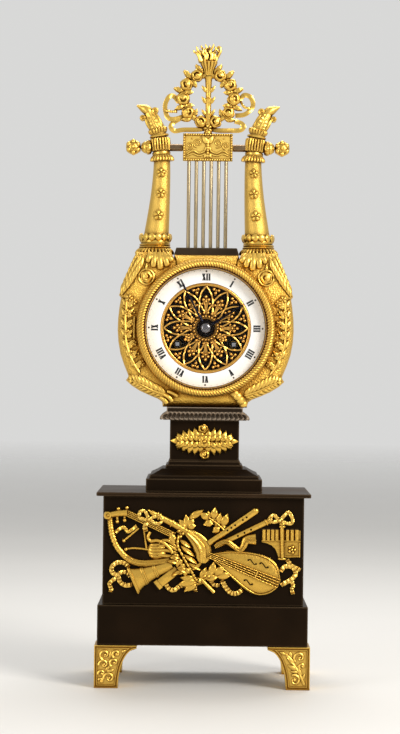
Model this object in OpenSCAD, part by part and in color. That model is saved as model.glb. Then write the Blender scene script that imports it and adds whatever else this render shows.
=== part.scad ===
// Lyre mantel clock: a gilt lyre on a dark pedestal and base, with an eight-day striking movement.
// Millimetres, +Z up, +X to the viewer's right, the front towards -Y, origin under the middle of the feet.

/* [Feet and base] */
// How far the feet stand out past the block's sides
foot_out = 2; // [1:0.1:5]
// How far the feet stand out past the block's front and back
foot_out_d = 2.4; // [1:0.1:5]
// Height of a foot
foot_h = 35.3; // [25:0.1:50]
// Width of a foot under the base
foot_top = 35; // [28:0.5:45]
// Width of a foot where it stands
foot_bottom = 19.7; // [14:0.1:26]
// Height of the lip on top of a foot
foot_lip = 2.5; // [1.5:0.1:4]
// Depth of the sunk panel on a foot
foot_panel = 1.2; // [0.6:0.1:2]
// Width of the border round the sunk panel
foot_border = 2.6; // [1.5:0.1:4]
// Width of the lower block
block_w = 174.4; // [150:0.2:215]
// Depth of the lower block
block_d = 110; // [90:0.2:145]
// Height of the lower block
block_h = 33.3; // [20:0.1:50]
// Width of the base's die
die_w = 166.6; // [150:0.2:205]
// Depth of the base's die
die_d = 102; // [95:0.2:135]
// Height of the base's die
die_h = 90; // [75:0.5:130]
// Width of the top slab
slab_w = 177.6; // [160:0.2:220]
// Depth of the top slab
slab_d = 113.4; // [100:0.2:150]
// Thickness of the top slab
slab_h = 3.2; // [2:0.1:6]
// Wall of the hollow castings
base_wall = 5; // [3:0.5:8]
// Diameter of the tie rod that holds the stack together
tie_d = 6; // [4:0.5:8]

/* [Pedestal] */
// Width of the plinth
plinth_w = 96.8; // [90:0.2:120]
// Height of the plinth
plinth_h = 11.1; // [6:0.1:16]
// Inset of the fillet over the plinth
plinth_inset = 2.8; // [1:0.1:4]
// Height of the fillet over the plinth
plinth_fillet_h = 2.5; // [1:0.1:4]
// Width where the slope ends
slope_top_w = 70.8; // [66:0.2:80]
// Height of the slope
slope_h = 5.5; // [3:0.1:9]
// Width of the low step
step_low_w = 64.6; // [62.6:0.2:66]
// Height of the low step
step_low_h = 3.1; // [1.5:0.1:5]
// Width of the high step
step_high_w = 60.4; // [59.4:0.2:62]
// Height of the high step
step_high_h = 3.2; // [1.5:0.1:5]
// Width of the pedestal's die
ped_w = 58.2; // [50:0.2:59]
// Depth of the pedestal's die
ped_d = 48; // [42:0.2:52]
// Height of the pedestal's die
ped_h = 34.4; // [28:0.1:45]
// Wall of the pedestal's die
ped_wall = 4; // [3:0.5:6]
// Width of the gadrooned cap at its bottom
cap_w = 74.6; // [70:0.2:76]
// Width of the gadrooned cap at its top
cap_top_w = 66.6; // [64:0.2:69]
// Height of the gadrooned cap
cap_h = 6.1; // [4:0.1:10]
// Width of the fillet over the cap
cap_fillet_w = 64; // [58:0.2:66]
// Height of the fillet over the cap
cap_fillet_h = 4.6; // [2:0.1:7]

/* [Lyre] */
// Radius of the lyre's round body
body_r = 73.5; // [71:0.1:78]
// Height of the dial's centre over the body's flat bottom
body_drop = 66.6; // [62:0.1:70]
// The body's front face, ahead of the split plane
body_front = 26; // [24:0.1:30]
// The body's back face, behind the split plane
body_back = 20; // [16:0.1:24]
// Wall of the cast body
body_wall = 4; // [3:0.1:5]
// Radius of the body's rounded outer edge
body_round = 9; // [5:0.1:11]
// Height of the shoulders over the dial's centre
shoulder_z = 63.8; // [60:0.1:70]
// Offset of an arm where it stands on a shoulder
arm_x = 44; // [42:0.1:46]
// Radius of an arm where it stands on a shoulder
arm_r = 12.2; // [10:0.1:13]
// Diameter of the bar between the arms
bar_d = 4; // [3:0.1:5]
// Height of the bar over the dial's centre
bar_z = 153.6; // [151:0.1:156]
// Half the length of the bar
bar_half = 57; // [54:0.1:60]
// Radius of the rosette knobs on the bar
knob_r = 7; // [5:0.1:9]
// Width of the string plaque
plaque_w = 42; // [38:0.2:50]
// Height of the string plaque
plaque_h = 23.1; // [18:0.1:28]
// Thickness of the string plaque
plaque_t = 6; // [4:0.1:8]
// Width of the string bridge at its foot
bridge_w = 55; // [48:0.2:56]
// Height of the string bridge
bridge_h = 6.3; // [4:0.1:9]
// Diameter of a string
string_d = 2.5; // [1.5:0.1:3]
// Spacing of the strings
string_gap = 6.3; // [5:0.1:7]
// Number of strings
string_n = 6; // [4:1:7]
// Radius of the rose wreath
wreath_r = 20; // [17:0.1:23]
// Radius of a rose
rose_r = 5; // [3.5:0.1:5.5]
// Number of roses round the wreath
rose_n = 10; // [8:1:12]
// Height of the torch, from the plaque to its cup
torch_h = 62; // [58:0.5:70]
// Height of the flames over the cup
flame_h = 14.2; // [8:0.1:20]

/* [Dial] */
// Outer radius of the bezel
bezel_r = 58; // [56:0.1:62]
// Inner radius of the bezel
bezel_in = 50.6; // [50.3:0.1:52]
// Depth of the bezel
bezel_depth = 10.2; // [9.4:0.1:13]
// Outer radius of the enamel ring
enamel_r = 50; // [48:0.1:50]
// Inner radius of the enamel ring
enamel_in = 38.2; // [37:0.1:40]
// Thickness of the enamel ring
enamel_t = 1.6; // [1:0.1:1.8]
// Width of the gilt ring inside the enamel
inner_ring = 2.9; // [2:0.1:4]
// Number of petals in the pierced centre
petal_n = 12; // [8:1:16]
// Length of the hour hand
hour_len = 36.5; // [30:0.5:40]
// Length of the minute hand
minute_len = 45.5; // [42:0.5:48]
// Hours that the clock shows
show_hour = 1; // [0:1:11]
// Minutes that the clock shows
show_minute = 55.3; // [0:0.1:59.9]

/* [Movement] */
// Outer radius of the movement's drum
drum_r = 50; // [49:0.1:50]
// Wall of the drum
drum_wall = 2.4; // [1.5:0.1:3]
// The drum's rear end, behind the split plane
drum_back = 50; // [48:0.1:53]
// Radius of the movement's plates
plate_r = 44.5; // [44:0.1:46]
// Thickness of a plate
plate_t = 2; // [1.5:0.1:2.5]
// Offset of a winding square from the dial's axis
wind_x = 23.7; // [23.5:0.1:24]
// Drop of a winding square under the dial's centre
wind_z = 13.6; // [13.4:0.1:13.8]
// Side of a winding square
wind_square = 4.2; // [3:0.1:4.8]
// Length of the pendulum to the middle of its bob
pendulum_len = 121; // [116:0.5:124]
// Radius of the pendulum's bob
bob_r = 13; // [10:0.1:14]
// Radius of the bell
bell_r = 21; // [18:0.1:21.5]
// Thickness of the rear door
door_t = 2; // [1.5:0.1:3]

/* [Hidden] */
$fn = 64;

// Finishes
gilt = [0.90, 0.72, 0.28];
burnished = [0.95, 0.80, 0.38];
bronze = [0.15, 0.11, 0.08];
brass = [0.80, 0.66, 0.34];
steel = [0.45, 0.46, 0.50];
blued = [0.08, 0.09, 0.16];
enamel = [0.96, 0.95, 0.92];

// Clearances: running fits, seats in one body, and faces that pass each other
run_fit = 0.05;
seat_gap = 0.1;
pass_gap = 0.3;
// Room that a cut reaches past the face it opens
over = 1;

// Width and depth over the feet
foot_span = block_w + 2 * foot_out;
foot_span_d = block_d + 2 * foot_out_d;

// Heights of the stack, from the floor up
block_z = foot_h;
die_z = block_z + block_h;
slab_z = die_z + die_h;
plinth_z = slab_z + slab_h;
slope_z = plinth_z + plinth_h + plinth_fillet_h;
step_z = slope_z + slope_h;
ped_z = step_z + step_low_h + step_high_h;
cap_z = ped_z + ped_h;
body_z = cap_z + cap_h + cap_fillet_h;
dial_z = body_z + body_drop;
// The pedestal's courses are all this much wider than they are deep
ped_flat = ped_w - ped_d;
tie_y = -10;

// Depths of the lyre's upper parts, all in line with the arms
arm_y = -3;
plaque_y = arm_y - bar_d / 2;
string_y = plaque_y - plaque_t / 2;
plaque_z = bar_z - plaque_h / 2;
bridge_z = shoulder_z - 2;

// Depths of the dial's layers, from the body's front face back
bezel_y = -body_front - pass_gap;
enamel_y = -body_front + 0.6;
dial_t = 1.4;
dial_y = enamel_y + enamel_t;
drum_y = dial_y + dial_t;
hole_r = 4.6;
hour_y = enamel_y - 2;
minute_y = hour_y - 2.4;
hand_t = 0.8;
collet_t = 0.8;
nut_h = 2;

// Depths of the plates and of the wheels between them
front_y = -15;
inside_y = front_y + plate_t;
back_y = 15;
outside_y = back_y + plate_t;
great_y = [inside_y + 0.8, inside_y + 2.6];
barrel_y = [great_y[1], 9];
second_y = [11, 12.2];
centre_y = [-8, -6.8];
stop_y = [-6, -4.8];
third_y = [-3, -1.8];
pin_y = [4, 5.2];
escape_y = [6, 6.8];
hour_wheel_y = [-19.2, -18];
minute_wheel_y = [-16.8, -15.6];
pinion_reach = 0.6;
arbor_r = 0.65;
pivot_r = 0.5;

// Teeth and modules: a wheel drives the pinion named after it
great_n = 72;
great_pinion_n = 12;
great_m = 0.44;
inter_n = 60;
centre_pinion_n = 10;
inter_m = 0.40;
centre_n = 80;
third_pinion_n = 8;
centre_m = 0.30;
third_n = 96;
escape_pinion_n = 8;
third_m = 0.24;
escape_n = 43;
escape_r = 8;
cannon_n = 12;
minute_n = 36;
cannon_m = 0.50;
minute_pinion_n = 10;
hour_n = 40;
hour_m = 0.48;
second_n = 72;
pin_pinion_n = 8;
second_m = 0.34;
pin_n = 64;
stop_pinion_n = 8;
pin_m = 0.32;
stop_n = 56;
fly_pinion_n = 8;
stop_m = 0.30;
barrel_r = 13;

// Distance between the arbors of a wheel and a pinion in mesh
function mesh_d(wheel_n, pinion_n, m) = (wheel_n + pinion_n) * m / 2;
function polar(r, a) = [r * cos(a), r * sin(a)];
function bearing(from, to) = atan2(to[1] - from[1], to[0] - from[0]);
// The point at distance ra from a and rb from b, on the left of the way from a to b
function meet(a, ra, b, rb) =
    let (d = norm(b - a), x = (d * d + ra * ra - rb * rb) / (2 * d), h = sqrt(ra * ra - x * x), t = bearing(a, b))
    a + polar(x, t) + polar(h, t + 90);

// Arbors, as [x, height over the dial's centre]
centre_at = [0, 0];
going_at = [wind_x, -wind_z];
strike_at = [-wind_x, -wind_z];
inter_at = meet(centre_at, mesh_d(inter_n, centre_pinion_n, inter_m),
    going_at, mesh_d(great_n, great_pinion_n, great_m));
third_at = polar(mesh_d(centre_n, third_pinion_n, centre_m), 75);
escape_d = mesh_d(third_n, escape_pinion_n, third_m);
escape_at = [0, third_at[1] + sqrt(escape_d * escape_d - third_at[0] * third_at[0])];
anchor_at = [0, escape_at[1] + escape_r + 2.2];
minute_at = [0, mesh_d(minute_n, cannon_n, cannon_m)];
second_at = strike_at + polar(mesh_d(great_n, great_pinion_n, great_m), 70);
pin_at = second_at + polar(mesh_d(second_n, pin_pinion_n, second_m), 110);
stop_at = pin_at + polar(mesh_d(pin_n, stop_pinion_n, pin_m), 50);
fly_at = stop_at + polar(mesh_d(stop_n, fly_pinion_n, stop_m), 60);
hammer_at = [-34, 8];
bell_at = [0, -17];
pillars_at = [polar(41, 35), polar(41, 125), polar(40, -75), polar(40, -105)];
pillar_r = 2.2;

// The pendulum hangs behind the pedestal's cap and swings in one plane with the stud of its cock
pendulum_y = 38;
rod_r = 1;
stud_r = 1.2;
slot_half = 9.5;
bob_t = 6;
bell_y = [20.2, 31.5];
bell_wall = 1.4;

// Hinges
knuckle_r = 1.6;
hinge_pin_r = 0.8;
bezel_hinge = [-bezel_r - knuckle_r - 0.4, bezel_y - knuckle_r];
bezel_hinge_half = 5;
ear_l = 4;
door_y = drum_back + pass_gap;
door_r = drum_r + 2;
door_hinge = [-door_r - knuckle_r - 0.4, door_y + knuckle_r];
door_hinge_half = 6;

// A box centred on X and Y that stands on height z
module course(w, d, z, h) {
    translate([-w / 2, -d / 2, z])
        cube([w, d, h]);
}

// A four-sided slope from one course to a smaller or larger one
module slope(w0, d0, w1, d1, z, h) {
    translate([0, 0, z])
        intersection() {
            translate([0, max(d0, d1) / 2, 0])
                rotate([90, 0, 0])
                    linear_extrude(max(d0, d1))
                        polygon([[-w0 / 2, 0], [w0 / 2, 0], [w1 / 2, h], [-w1 / 2, h]]);
            translate([-max(w0, w1) / 2, 0, 0])
                rotate([90, 0, 90])
                    linear_extrude(max(w0, w1))
                        polygon([[-d0 / 2, 0], [d0 / 2, 0], [d1 / 2, h], [-d1 / 2, h]]);
        }
}

// Stands a flat shape upright, facing the front, between the depths y0 and y1
module upright(y0, y1) {
    translate([0, y1, 0])
        rotate([90, 0, 0])
            linear_extrude(y1 - y0)
                children();
}

// The same, round an arbor at p, with p measured from the dial's centre
module on_arbor(p, y0, y1) {
    translate([p[0], 0, dial_z + p[1]])
        upright(y0, y1)
            children();
}

// A plain shaft round an arbor at p
module shaft(p, r, y0, y1) {
    translate([p[0], y1, dial_z + p[1]])
        rotate([90, 0, 0])
            cylinder(r = r, h = y1 - y0);
}

// A profile of [radius, depth] points turned round the dial's axis
module turned(p = [0, 0]) {
    translate([p[0], 0, dial_z + p[1]])
        rotate([-90, 0, 0])
            rotate_extrude()
                children();
}

// A rod with round ends from a to b
module rod(a, b, r) {
    d = b - a;
    translate(a)
        rotate([0, acos(d[2] / norm(d)), atan2(d[1], d[0])])
            cylinder(r = r, h = norm(d));
    translate(a)
        sphere(r = r);
    translate(b)
        sphere(r = r);
}

// A lens-shaped leaf along +X, with its stalk at the origin
module leaf_2d(length, width) {
    steps = 8;
    polygon(concat(
        [for (i = [0:steps]) [length * i / steps, width / 2 * sin(180 * i / steps)]],
        [for (i = [1:steps - 1]) [length * (1 - i / steps), -width / 2 * sin(180 * i / steps)]]));
}

// A drop shape: a small circle and a large one with their common tangents
module drop_2d(r0, r1, distance) {
    steps = 12;
    lean = asin((r1 - r0) / distance);
    polygon(concat(
        [for (i = [0:steps]) polar(r0, 90 + lean + i * (180 - 2 * lean) / steps)],
        [for (i = [0:steps]) [distance, 0] + polar(r1, -90 - lean + i * (180 + 2 * lean) / steps)]));
}

// Gear teeth: each tooth is drawn from its root over its tip, in shares of the pitch angle
function wheel_tooth(r, m) =
    [[r - 1.2 * m, -0.22], [r, -0.20], [r + 1.05 * m, -0.06], [r + 1.05 * m, 0.06], [r, 0.20], [r - 1.2 * m, 0.22]];
function pinion_tooth(r, m) =
    [[r - 1.5 * m, -0.15], [r, -0.15], [r + 0.6 * m, -0.06], [r + 0.6 * m, 0.06], [r, 0.15], [r - 1.5 * m, 0.15]];

module teeth_2d(n, tooth, phase) {
    polygon([for (i = [0:n - 1]) for (t = tooth) polar(t[0], phase + (i + t[1]) * 360 / n)]);
}

// A wheel with one tooth pointing to the bearing phase, crossed out to four spokes
module wheel_2d(n, m, phase, bore) {
    r = n * m / 2;
    rim = r - 3.2 * m - 0.6;
    hub = bore + 1.6;
    spoke = 1.8;
    difference() {
        teeth_2d(n, wheel_tooth(r, m), phase);
        difference() {
            circle(r = rim);
            circle(r = hub);
            for (a = [45, 135])
                rotate(a)
                    square([2 * r, spoke], center = true);
        }
        circle(r = bore);
    }
}

// A pinion with one gap facing the bearing phase
module pinion_2d(n, m, phase) {
    teeth_2d(n, pinion_tooth(n * m / 2, m), phase + 180 / n);
}

// An arbor between the plates, with its pivots in both
module arbor(p) {
    shaft(p, arbor_r, inside_y + 0.4, back_y - 0.4);
    shaft(p, pivot_r, front_y, outside_y);
}

// A train arbor with its wheel and its pinion
module train(p, wheel_n, wheel_m, wheel_to, wheel_y, pinion_n, pinion_m, pinion_from, pinion_y) {
    arbor(p);
    on_arbor(p, wheel_y[0], wheel_y[1])
        wheel_2d(wheel_n, wheel_m, bearing(p, wheel_to), arbor_r);
    on_arbor(p, pinion_y[0] - pinion_reach, pinion_y[1] + pinion_reach)
        pinion_2d(pinion_n, pinion_m, bearing(p, pinion_from));
}

// Feet: a bracket foot whose inner edges are quarter arches, with a sunk panel in front
function foot_outline(inset) =
    let (steps = 10, rise = foot_h - foot_lip)
    concat([[inset, rise - inset], [inset, inset]],
        [for (i = [0:steps])
            let (a = 90 * i / steps, reach = foot_top - foot_bottom)
            [foot_top - reach * cos(a) - inset, max(inset, rise * sin(a) - inset)]]);

module foot() {
    wing = foot_top * 0.94;
    intersection() {
        upright(0, foot_top)
            polygon(foot_outline(0));
        rotate([90, 0, 90])
            linear_extrude(foot_top)
                polygon(foot_outline(0));
        difference() {
            cube([foot_top, wing, foot_h]);
            upright(-over, foot_panel)
                polygon(foot_outline(foot_border));
        }
    }
    translate([0, 0, foot_h - foot_lip])
        cube([foot_top, wing, foot_lip]);
}

module foot_at(side, end) {
    color(gilt)
        mirror([side > 0 ? 1 : 0, 0, 0])
            mirror([0, end > 0 ? 1 : 0, 0])
                translate([-foot_span / 2, -foot_span_d / 2, 0])
                    foot();
}

module foot_front_left() { foot_at(-1, -1); }
module foot_front_right() { foot_at(1, -1); }
module foot_rear_left() { foot_at(-1, 1); }
module foot_rear_right() { foot_at(1, 1); }

// Clears the tie rod through any course
module tie_hole(z, h) {
    translate([0, tie_y, z - over])
        cylinder(r = tie_d / 2 + seat_gap, h = h + 2 * over);
}

module base_block() {
    color(bronze)
        difference() {
            course(block_w, block_d, block_z, block_h);
            course(block_w - 2 * base_wall, block_d - 2 * base_wall, block_z + base_wall, block_h);
            tie_hole(block_z, block_h);
        }
}

module base_die() {
    color(bronze)
        difference() {
            course(die_w, die_d, die_z, die_h);
            course(die_w - 2 * base_wall, die_d - 2 * base_wall, die_z - over, die_h + 2 * over);
        }
}

module base_slab() {
    color(bronze)
        difference() {
            course(slab_w, slab_d, slab_z, slab_h);
            tie_hole(slab_z, slab_h);
        }
}

module tie_rod() {
    nut_t = 5;
    nut_d = 12;
    color(steel)
        translate([0, tie_y, 0]) {
            translate([0, 0, block_z - nut_t])
                cylinder(d = nut_d, h = nut_t, $fn = 6);
            translate([0, 0, block_z - nut_t])
                cylinder(d = tie_d, h = body_z + body_wall + nut_t - block_z + nut_t);
            translate([0, 0, body_z + body_wall])
                cylinder(d = nut_d, h = nut_t, $fn = 6);
        }
}

// Trophy of instruments on the base: places are [x, z] from the middle of the die's front
// A flat bar with round ends from a to b
module bar_2d(a, b, r) {
    steps = 6;
    way = bearing(a, b);
    polygon(concat(
        [for (i = [0:steps]) b + polar(r, way - 90 + 180 * i / steps)],
        [for (i = [0:steps]) a + polar(r, way + 90 + 180 * i / steps)]));
}

module path_2d(points, r) {
    for (i = [0:len(points) - 2])
        bar_2d(points[i], points[i + 1], r);
}

module trophy_2d() {
    harp = [[-80, 29.5], [-80.5, 24], [-78, 13], [-71, -1], [-62, -8], [-50, -11], [-28, -8.5]];
    bows = [[-46, 27], [67, 27], [-69, -20], [74, -23], [20, -26], [-17, -27]];
    pipe_n = 8;
    pipe_step = 4;
    wreath_at = [-2, 3];
    laurel_r = 20;
    laurel_n = 14;
    bar_2d([-79, 30], [-65, 31.5], 2.6);
    bar_2d([-65, 31.5], [-25, 14], 2.6);
    path_2d(harp, 2.2);
    // Two pipes on the left, two flutes on the right
    path_2d([[-46, 32.5], [-24, 22.5], [1, 2.5]], 2.2);
    bar_2d([44, 33.5], [4, 6.5], 2.5);
    bar_2d([57, 26.5], [11, 4.5], 2.4);
    // Trumpet with its bell at the lower left, and a square tube beside it
    polygon([[-63, -12.5], [-54, -34], [-46, -24], [-34, -17], [-24, -13], [-24, -8.5], [-36, -9], [-48, -10.5]]);
    translate([-31, -23])
        rotate(25)
            square([15, 9], center = true);
    // Laurel wreath in the middle
    for (i = [0:laurel_n - 1])
        let (a = 105 + i * 360 / laurel_n) {
            bar_2d(wreath_at + polar(laurel_r, a), wreath_at + polar(laurel_r, a + 360 / laurel_n), 1.4);
            translate(wreath_at + polar(laurel_r, a))
                rotate(a + 40)
                    leaf_2d(9, 5.5);
        }
    // Lute with its body at the lower right
    translate([7, -2])
        rotate(-22)
            drop_2d(2.6, 15.5, 46);
    // Row of pipes, cut on a slant
    for (i = [0:pipe_n - 1])
        bar_2d([51 + i * pipe_step, 16.5], [51 + i * pipe_step, max(-4, 7.5 - 2.6 * i)], 2.1);
    // Bows and ribbon ends
    for (bow = bows, side = [-1, 1])
        translate(bow)
            rotate(90 - side * 70)
                leaf_2d(9.5, 5);
}

module trophy_mount() {
    relief = 4.5;
    color(burnished)
        translate([0, -die_d / 2, die_z + die_h / 2])
            upright(-relief, 0)
                trophy_2d();
}

module pedestal_course(w, z, h) {
    course(w, w - ped_flat, z, h);
}

module pedestal_foot() {
    fillet_w = plinth_w - 2 * plinth_inset;
    color(bronze)
        difference() {
            union() {
                pedestal_course(plinth_w, plinth_z, plinth_h);
                pedestal_course(fillet_w, plinth_z + plinth_h, plinth_fillet_h);
                slope(fillet_w, fillet_w - ped_flat, slope_top_w, slope_top_w - ped_flat, slope_z, slope_h);
                pedestal_course(step_low_w, step_z, step_low_h);
                pedestal_course(step_high_w, step_z + step_low_h, step_high_h);
            }
            tie_hole(plinth_z, ped_z - plinth_z);
        }
}

module pedestal_die() {
    color(bronze)
        difference() {
            course(ped_w, ped_d, ped_z, ped_h);
            course(ped_w - 2 * ped_wall, ped_d - 2 * ped_wall, ped_z - over, ped_h + 2 * over);
        }
}

// The cap's gadroons are round ribs that lean outwards from the middle
module pedestal_cap() {
    rib_n = 9;
    rib_r = 1.5;
    color(bronze)
        difference() {
            union() {
                slope(cap_w - rib_r, cap_w - rib_r - ped_flat, cap_top_w - rib_r, cap_top_w - rib_r - ped_flat,
                    cap_z, cap_h);
                for (i = [0:rib_n - 1], side = [-1, 1], face = [-1, 1])
                    let (low = (i + 0.5) * (cap_w / 2 - rib_r) / rib_n, high = (i + 0.5) * (cap_top_w / 2 - rib_r) / rib_n)
                    rod([side * low, face * ((cap_w - ped_flat) / 2 - rib_r), cap_z + rib_r],
                        [side * high, face * ((cap_top_w - ped_flat) / 2 - rib_r), cap_z + cap_h - rib_r], rib_r,
                        $fn = 16);
                pedestal_course(cap_fillet_w, cap_z + cap_h, cap_fillet_h);
            }
            tie_hole(cap_z, cap_h + cap_fillet_h);
        }
}

// Leaf spray on the pedestal's front, with a flower in its middle
module pedestal_mount() {
    relief = 2.4;
    half = ped_w / 2 - 1;
    color(gilt)
        translate([0, -ped_d / 2, ped_z + ped_h / 2])
            upright(-relief, 0) {
                for (side = [0, 180])
                    rotate(side) {
                        leaf_2d(half, 5.5);
                        for (i = [0:2], lean = [-1, 1])
                            translate([4 + i * 5.5, 0])
                                rotate(lean * 42)
                                    leaf_2d(12.5 - i * 1.2, 5);
                    }
                circle(r = 6);
                for (tip = [-1, 1])
                    translate([0, tip * 11.5])
                        circle(r = 2.6);
                square([2, 23], center = true);
            }
}

// Outline of a shoulder, on the right, from the dial's centre
function shoulder_outline(inset) =
    [[20, 44], [body_r - 14, 10], [body_r - inset, 4], [body_r - inset, 27 - inset], [body_r - 6 - inset, 44],
        [arm_x + 15.6 - inset, shoulder_z - inset], [arm_x - 14.5 + inset, shoulder_z - inset],
        [arm_x - 14.5 + inset, 44]];

// Leaf that hangs from the lower flank, with its tip turned out
function flank_leaf(inset) =
    [[50, -40], [60 - inset, -34], [65 - inset, -45], [51, -54 + inset], [36, -61 + inset], [36, -52]];

// One cast half of the body, between its face and the split plane at y = 0
module body_half(face, inner_hole) {
    dir = face < 0 ? 0 : 1;
    depth = abs(face);
    mirror([0, dir, 0])
        difference() {
            union() {
                intersection() {
                    turned()
                        difference() {
                            union() {
                                translate([0, -depth])
                                    square([body_r - body_round, depth]);
                                translate([0, body_round - depth])
                                    square([body_r, depth - body_round]);
                                translate([body_r - body_round, body_round - depth])
                                    circle(r = body_round);
                            }
                            translate([inner_hole + body_wall, body_wall - depth])
                                square([body_r - inner_hole - 2 * body_wall - 1, depth]);
                            translate([-body_r, -depth])
                                square([body_r, depth]);
                            square([body_r + over, 2 * body_round]);
                        }
                    translate([-body_r - over, -depth - over, body_z])
                        cube([2 * (body_r + over), depth + over, body_drop + bridge_z]);
                }
                for (side = [0, 1])
                    mirror([side, 0, 0])
                        translate([0, 0, dial_z]) {
                            upright(-depth + 3, 0)
                                polygon(shoulder_outline(0));
                            upright(-depth, -depth + 3.5)
                                polygon(shoulder_outline(3));
                            upright(-depth + 2, -depth + 12)
                                polygon(flank_leaf(0));
                        }
                translate([-bridge_w / 2, -depth + 4, dial_z + 40])
                    cube([bridge_w, depth - 4, bridge_z - 40]);
                translate([-31, -depth + 4, body_z])
                    cube([62, depth - 4, body_wall + 2]);
            }
            shaft([0, 0], inner_hole, -depth - over, over);
            tie_hole(body_z, body_wall + over);
            translate([0, tie_y, body_z + body_wall])
                cylinder(r = 8, h = 9);
        }
}

module lyre_front() {
    color(gilt) {
        body_half(-body_front, drum_r + seat_gap);
        // Ears of the bezel's hinge
        for (end = [-1, 1])
            difference() {
                hinge_barrel(bezel_hinge, end * (bezel_hinge_half + ear_l / 2), ear_l / 2, -body_front);
                translate([bezel_hinge[0], bezel_hinge[1], dial_z - 20])
                    cylinder(r = hinge_pin_r + seat_gap, h = 40);
            }
    }
}

// A knuckle on a vertical pin, with a web back to the plane y = root_y
module hinge_barrel(at, z, half, root_y) {
    translate([at[0], at[1], dial_z + z - half])
        cylinder(r = knuckle_r, h = 2 * half);
    translate([at[0] - knuckle_r, min(at[1], root_y), dial_z + z - half])
        cube([2 * knuckle_r, abs(root_y - at[1]), 2 * half]);
}

module lyre_back() {
    color(gilt)
        body_half(body_back, drum_r + seat_gap);
}

// Arms: a round horn carried along [offset, height, radius] stations on a smooth curve.
// The upper stations are counted from the place where the bar passes through the arm.
bar_past_arm = 16.4;
arm_at_bar = [bar_half - bar_past_arm, bar_z + 3, 0];
arm_low = [[arm_x, shoulder_z, arm_r], [arm_x, shoulder_z + 4, arm_r - 0.5], [arm_x - 1.4, shoulder_z + 17.2, 10.4]];
arm_high = [[-1.2, -43.6, 8.2], [-1.8, -15.6, 7], [0, 0, 6.8], [2.2, 11.4, 6.8], [5.9, 18.9, 6.4], [11.4, 25.9, 5.6],
    [16.4, 30.4, 4.4], [19.9, 32.9, 2.6]];
arm_stations = concat(arm_low, [for (station = arm_high) arm_at_bar + station]);
function curve_point(p, i, t) =
    let (n = len(p) - 1, a = p[max(i - 1, 0)], b = p[i], c = p[min(i + 1, n)], d = p[min(i + 2, n)])
    0.5 * (2 * b + (c - a) * t + (2 * a - 5 * b + 4 * c - d) * t * t + (3 * b - a - 3 * c + d) * t * t * t);
function smooth_path(p, steps) =
    concat([for (i = [0:len(p) - 2], k = [0:steps - 1]) curve_point(p, i, k / steps)], [p[len(p) - 1]]);

// A round horn through stations in the XZ plane, closed at both ends
module horn(stations, steps, sides) {
    path = smooth_path(stations, steps);
    n = len(path);
    way = [for (i = [0:n - 1]) path[min(i + 1, n - 1)] - path[max(i - 1, 0)]];
    points = [for (i = [0:n - 1], k = [0:sides - 1])
        let (a = 360 * k / sides, lean = i == 0 ? 0 : atan2(way[i][0], way[i][1]), r = path[i][2])
        [path[i][0] + r * cos(a) * cos(lean), r * sin(a), path[i][1] - r * cos(a) * sin(lean)]];
    walls = [for (i = [0:n - 2], k = [0:sides - 1])
        let (a = i * sides + k, b = i * sides + (k + 1) % sides)
        [a, a + sides, b + sides, b]];
    ends = [[for (k = [0:sides - 1]) k], [for (k = [sides - 1:-1:0]) (n - 1) * sides + k]];
    polyhedron(points = points, faces = concat(walls, ends), convexity = 4);
}

// A turned ring round the arm, square to its lean
module arm_ring(offset, z, lean, r, h) {
    translate([offset, 0, z])
        rotate([0, lean, 0])
            rotate_extrude()
                polygon([[0, 0], [r - h / 3, 0], [r, h / 3], [r, 2 * h / 3], [r - h / 3, h], [0, h]]);
}

module arm() {
    color(gilt)
        difference() {
            translate([0, arm_y, dial_z]) {
                horn(arm_stations, 2, 20);
                arm_ring(arm_x, shoulder_z, 0, arm_r + 2.6, 4);
                arm_ring(arm_x, shoulder_z + 4, -1, arm_r + 0.8, 3);
                arm_ring(arm_x - 0.3, shoulder_z + 7, -3, arm_r + 0.4, 5);
                translate([arm_at_bar[0], 0, arm_at_bar[1]]) {
                    arm_ring(-1.7, -14.8, 3, 9, 5.4);
                    arm_ring(-1, -9, 5, 7.6, 2.6);
                    arm_ring(1.6, 8.6, 12, 8, 4);
                    // Scrolled leaf ends beside the tip
                    for (scroll = [[[6.4, 0, 23.4], [4.4, 0, 32.4], 2], [[11.4, 0, 20.4], [16.9, 0, 22.4], 1.8]]) {
                        rod(scroll[0], scroll[1], scroll[2], $fn = 24);
                        translate(scroll[1])
                            sphere(r = scroll[2] + 0.6, $fn = 24);
                    }
                }
            }
            translate([0, arm_y, dial_z + bar_z])
                rotate([0, 90, 0])
                    cylinder(r = bar_d / 2 + seat_gap, h = 2 * arm_x);
        }
}

module arm_right() { arm(); }
module arm_left() { mirror([1, 0, 0]) arm(); }

module yoke_bar() {
    color(burnished)
        translate([-bar_half, arm_y, dial_z + bar_z])
            rotate([0, 90, 0])
                cylinder(d = bar_d, h = 2 * bar_half);
}

module yoke_knobs() {
    cup_x = bar_half - 8.4;
    petal_n = 6;
    color(burnished)
        for (side = [0, 1])
            mirror([side, 0, 0])
                translate([0, arm_y, dial_z + bar_z]) {
                    difference() {
                        union() {
                            translate([cup_x, 0, 0])
                                rotate([0, 90, 0])
                                    rotate_extrude()
                                        polygon([[0, 0], [5.9, 0], [5.9, 1.6], [4.4, 4.5], [3.4, 7.8], [0, 7.8]]);
                            // Flower that faces the front
                            translate([bar_half + knob_r - 1.5, 0, 0]) {
                                sphere(r = knob_r - 2.2);
                                upright(-5, 3)
                                    for (i = [0:petal_n - 1])
                                        translate(polar(knob_r - 2.6, 30 + i * 360 / petal_n))
                                            circle(r = 2.6, $fn = 32);
                            }
                        }
                        translate([cup_x - over, 0, 0])
                            rotate([0, 90, 0])
                                cylinder(r = bar_d / 2 + seat_gap, h = bar_half - cup_x + over);
                    }
                }
}

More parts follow.
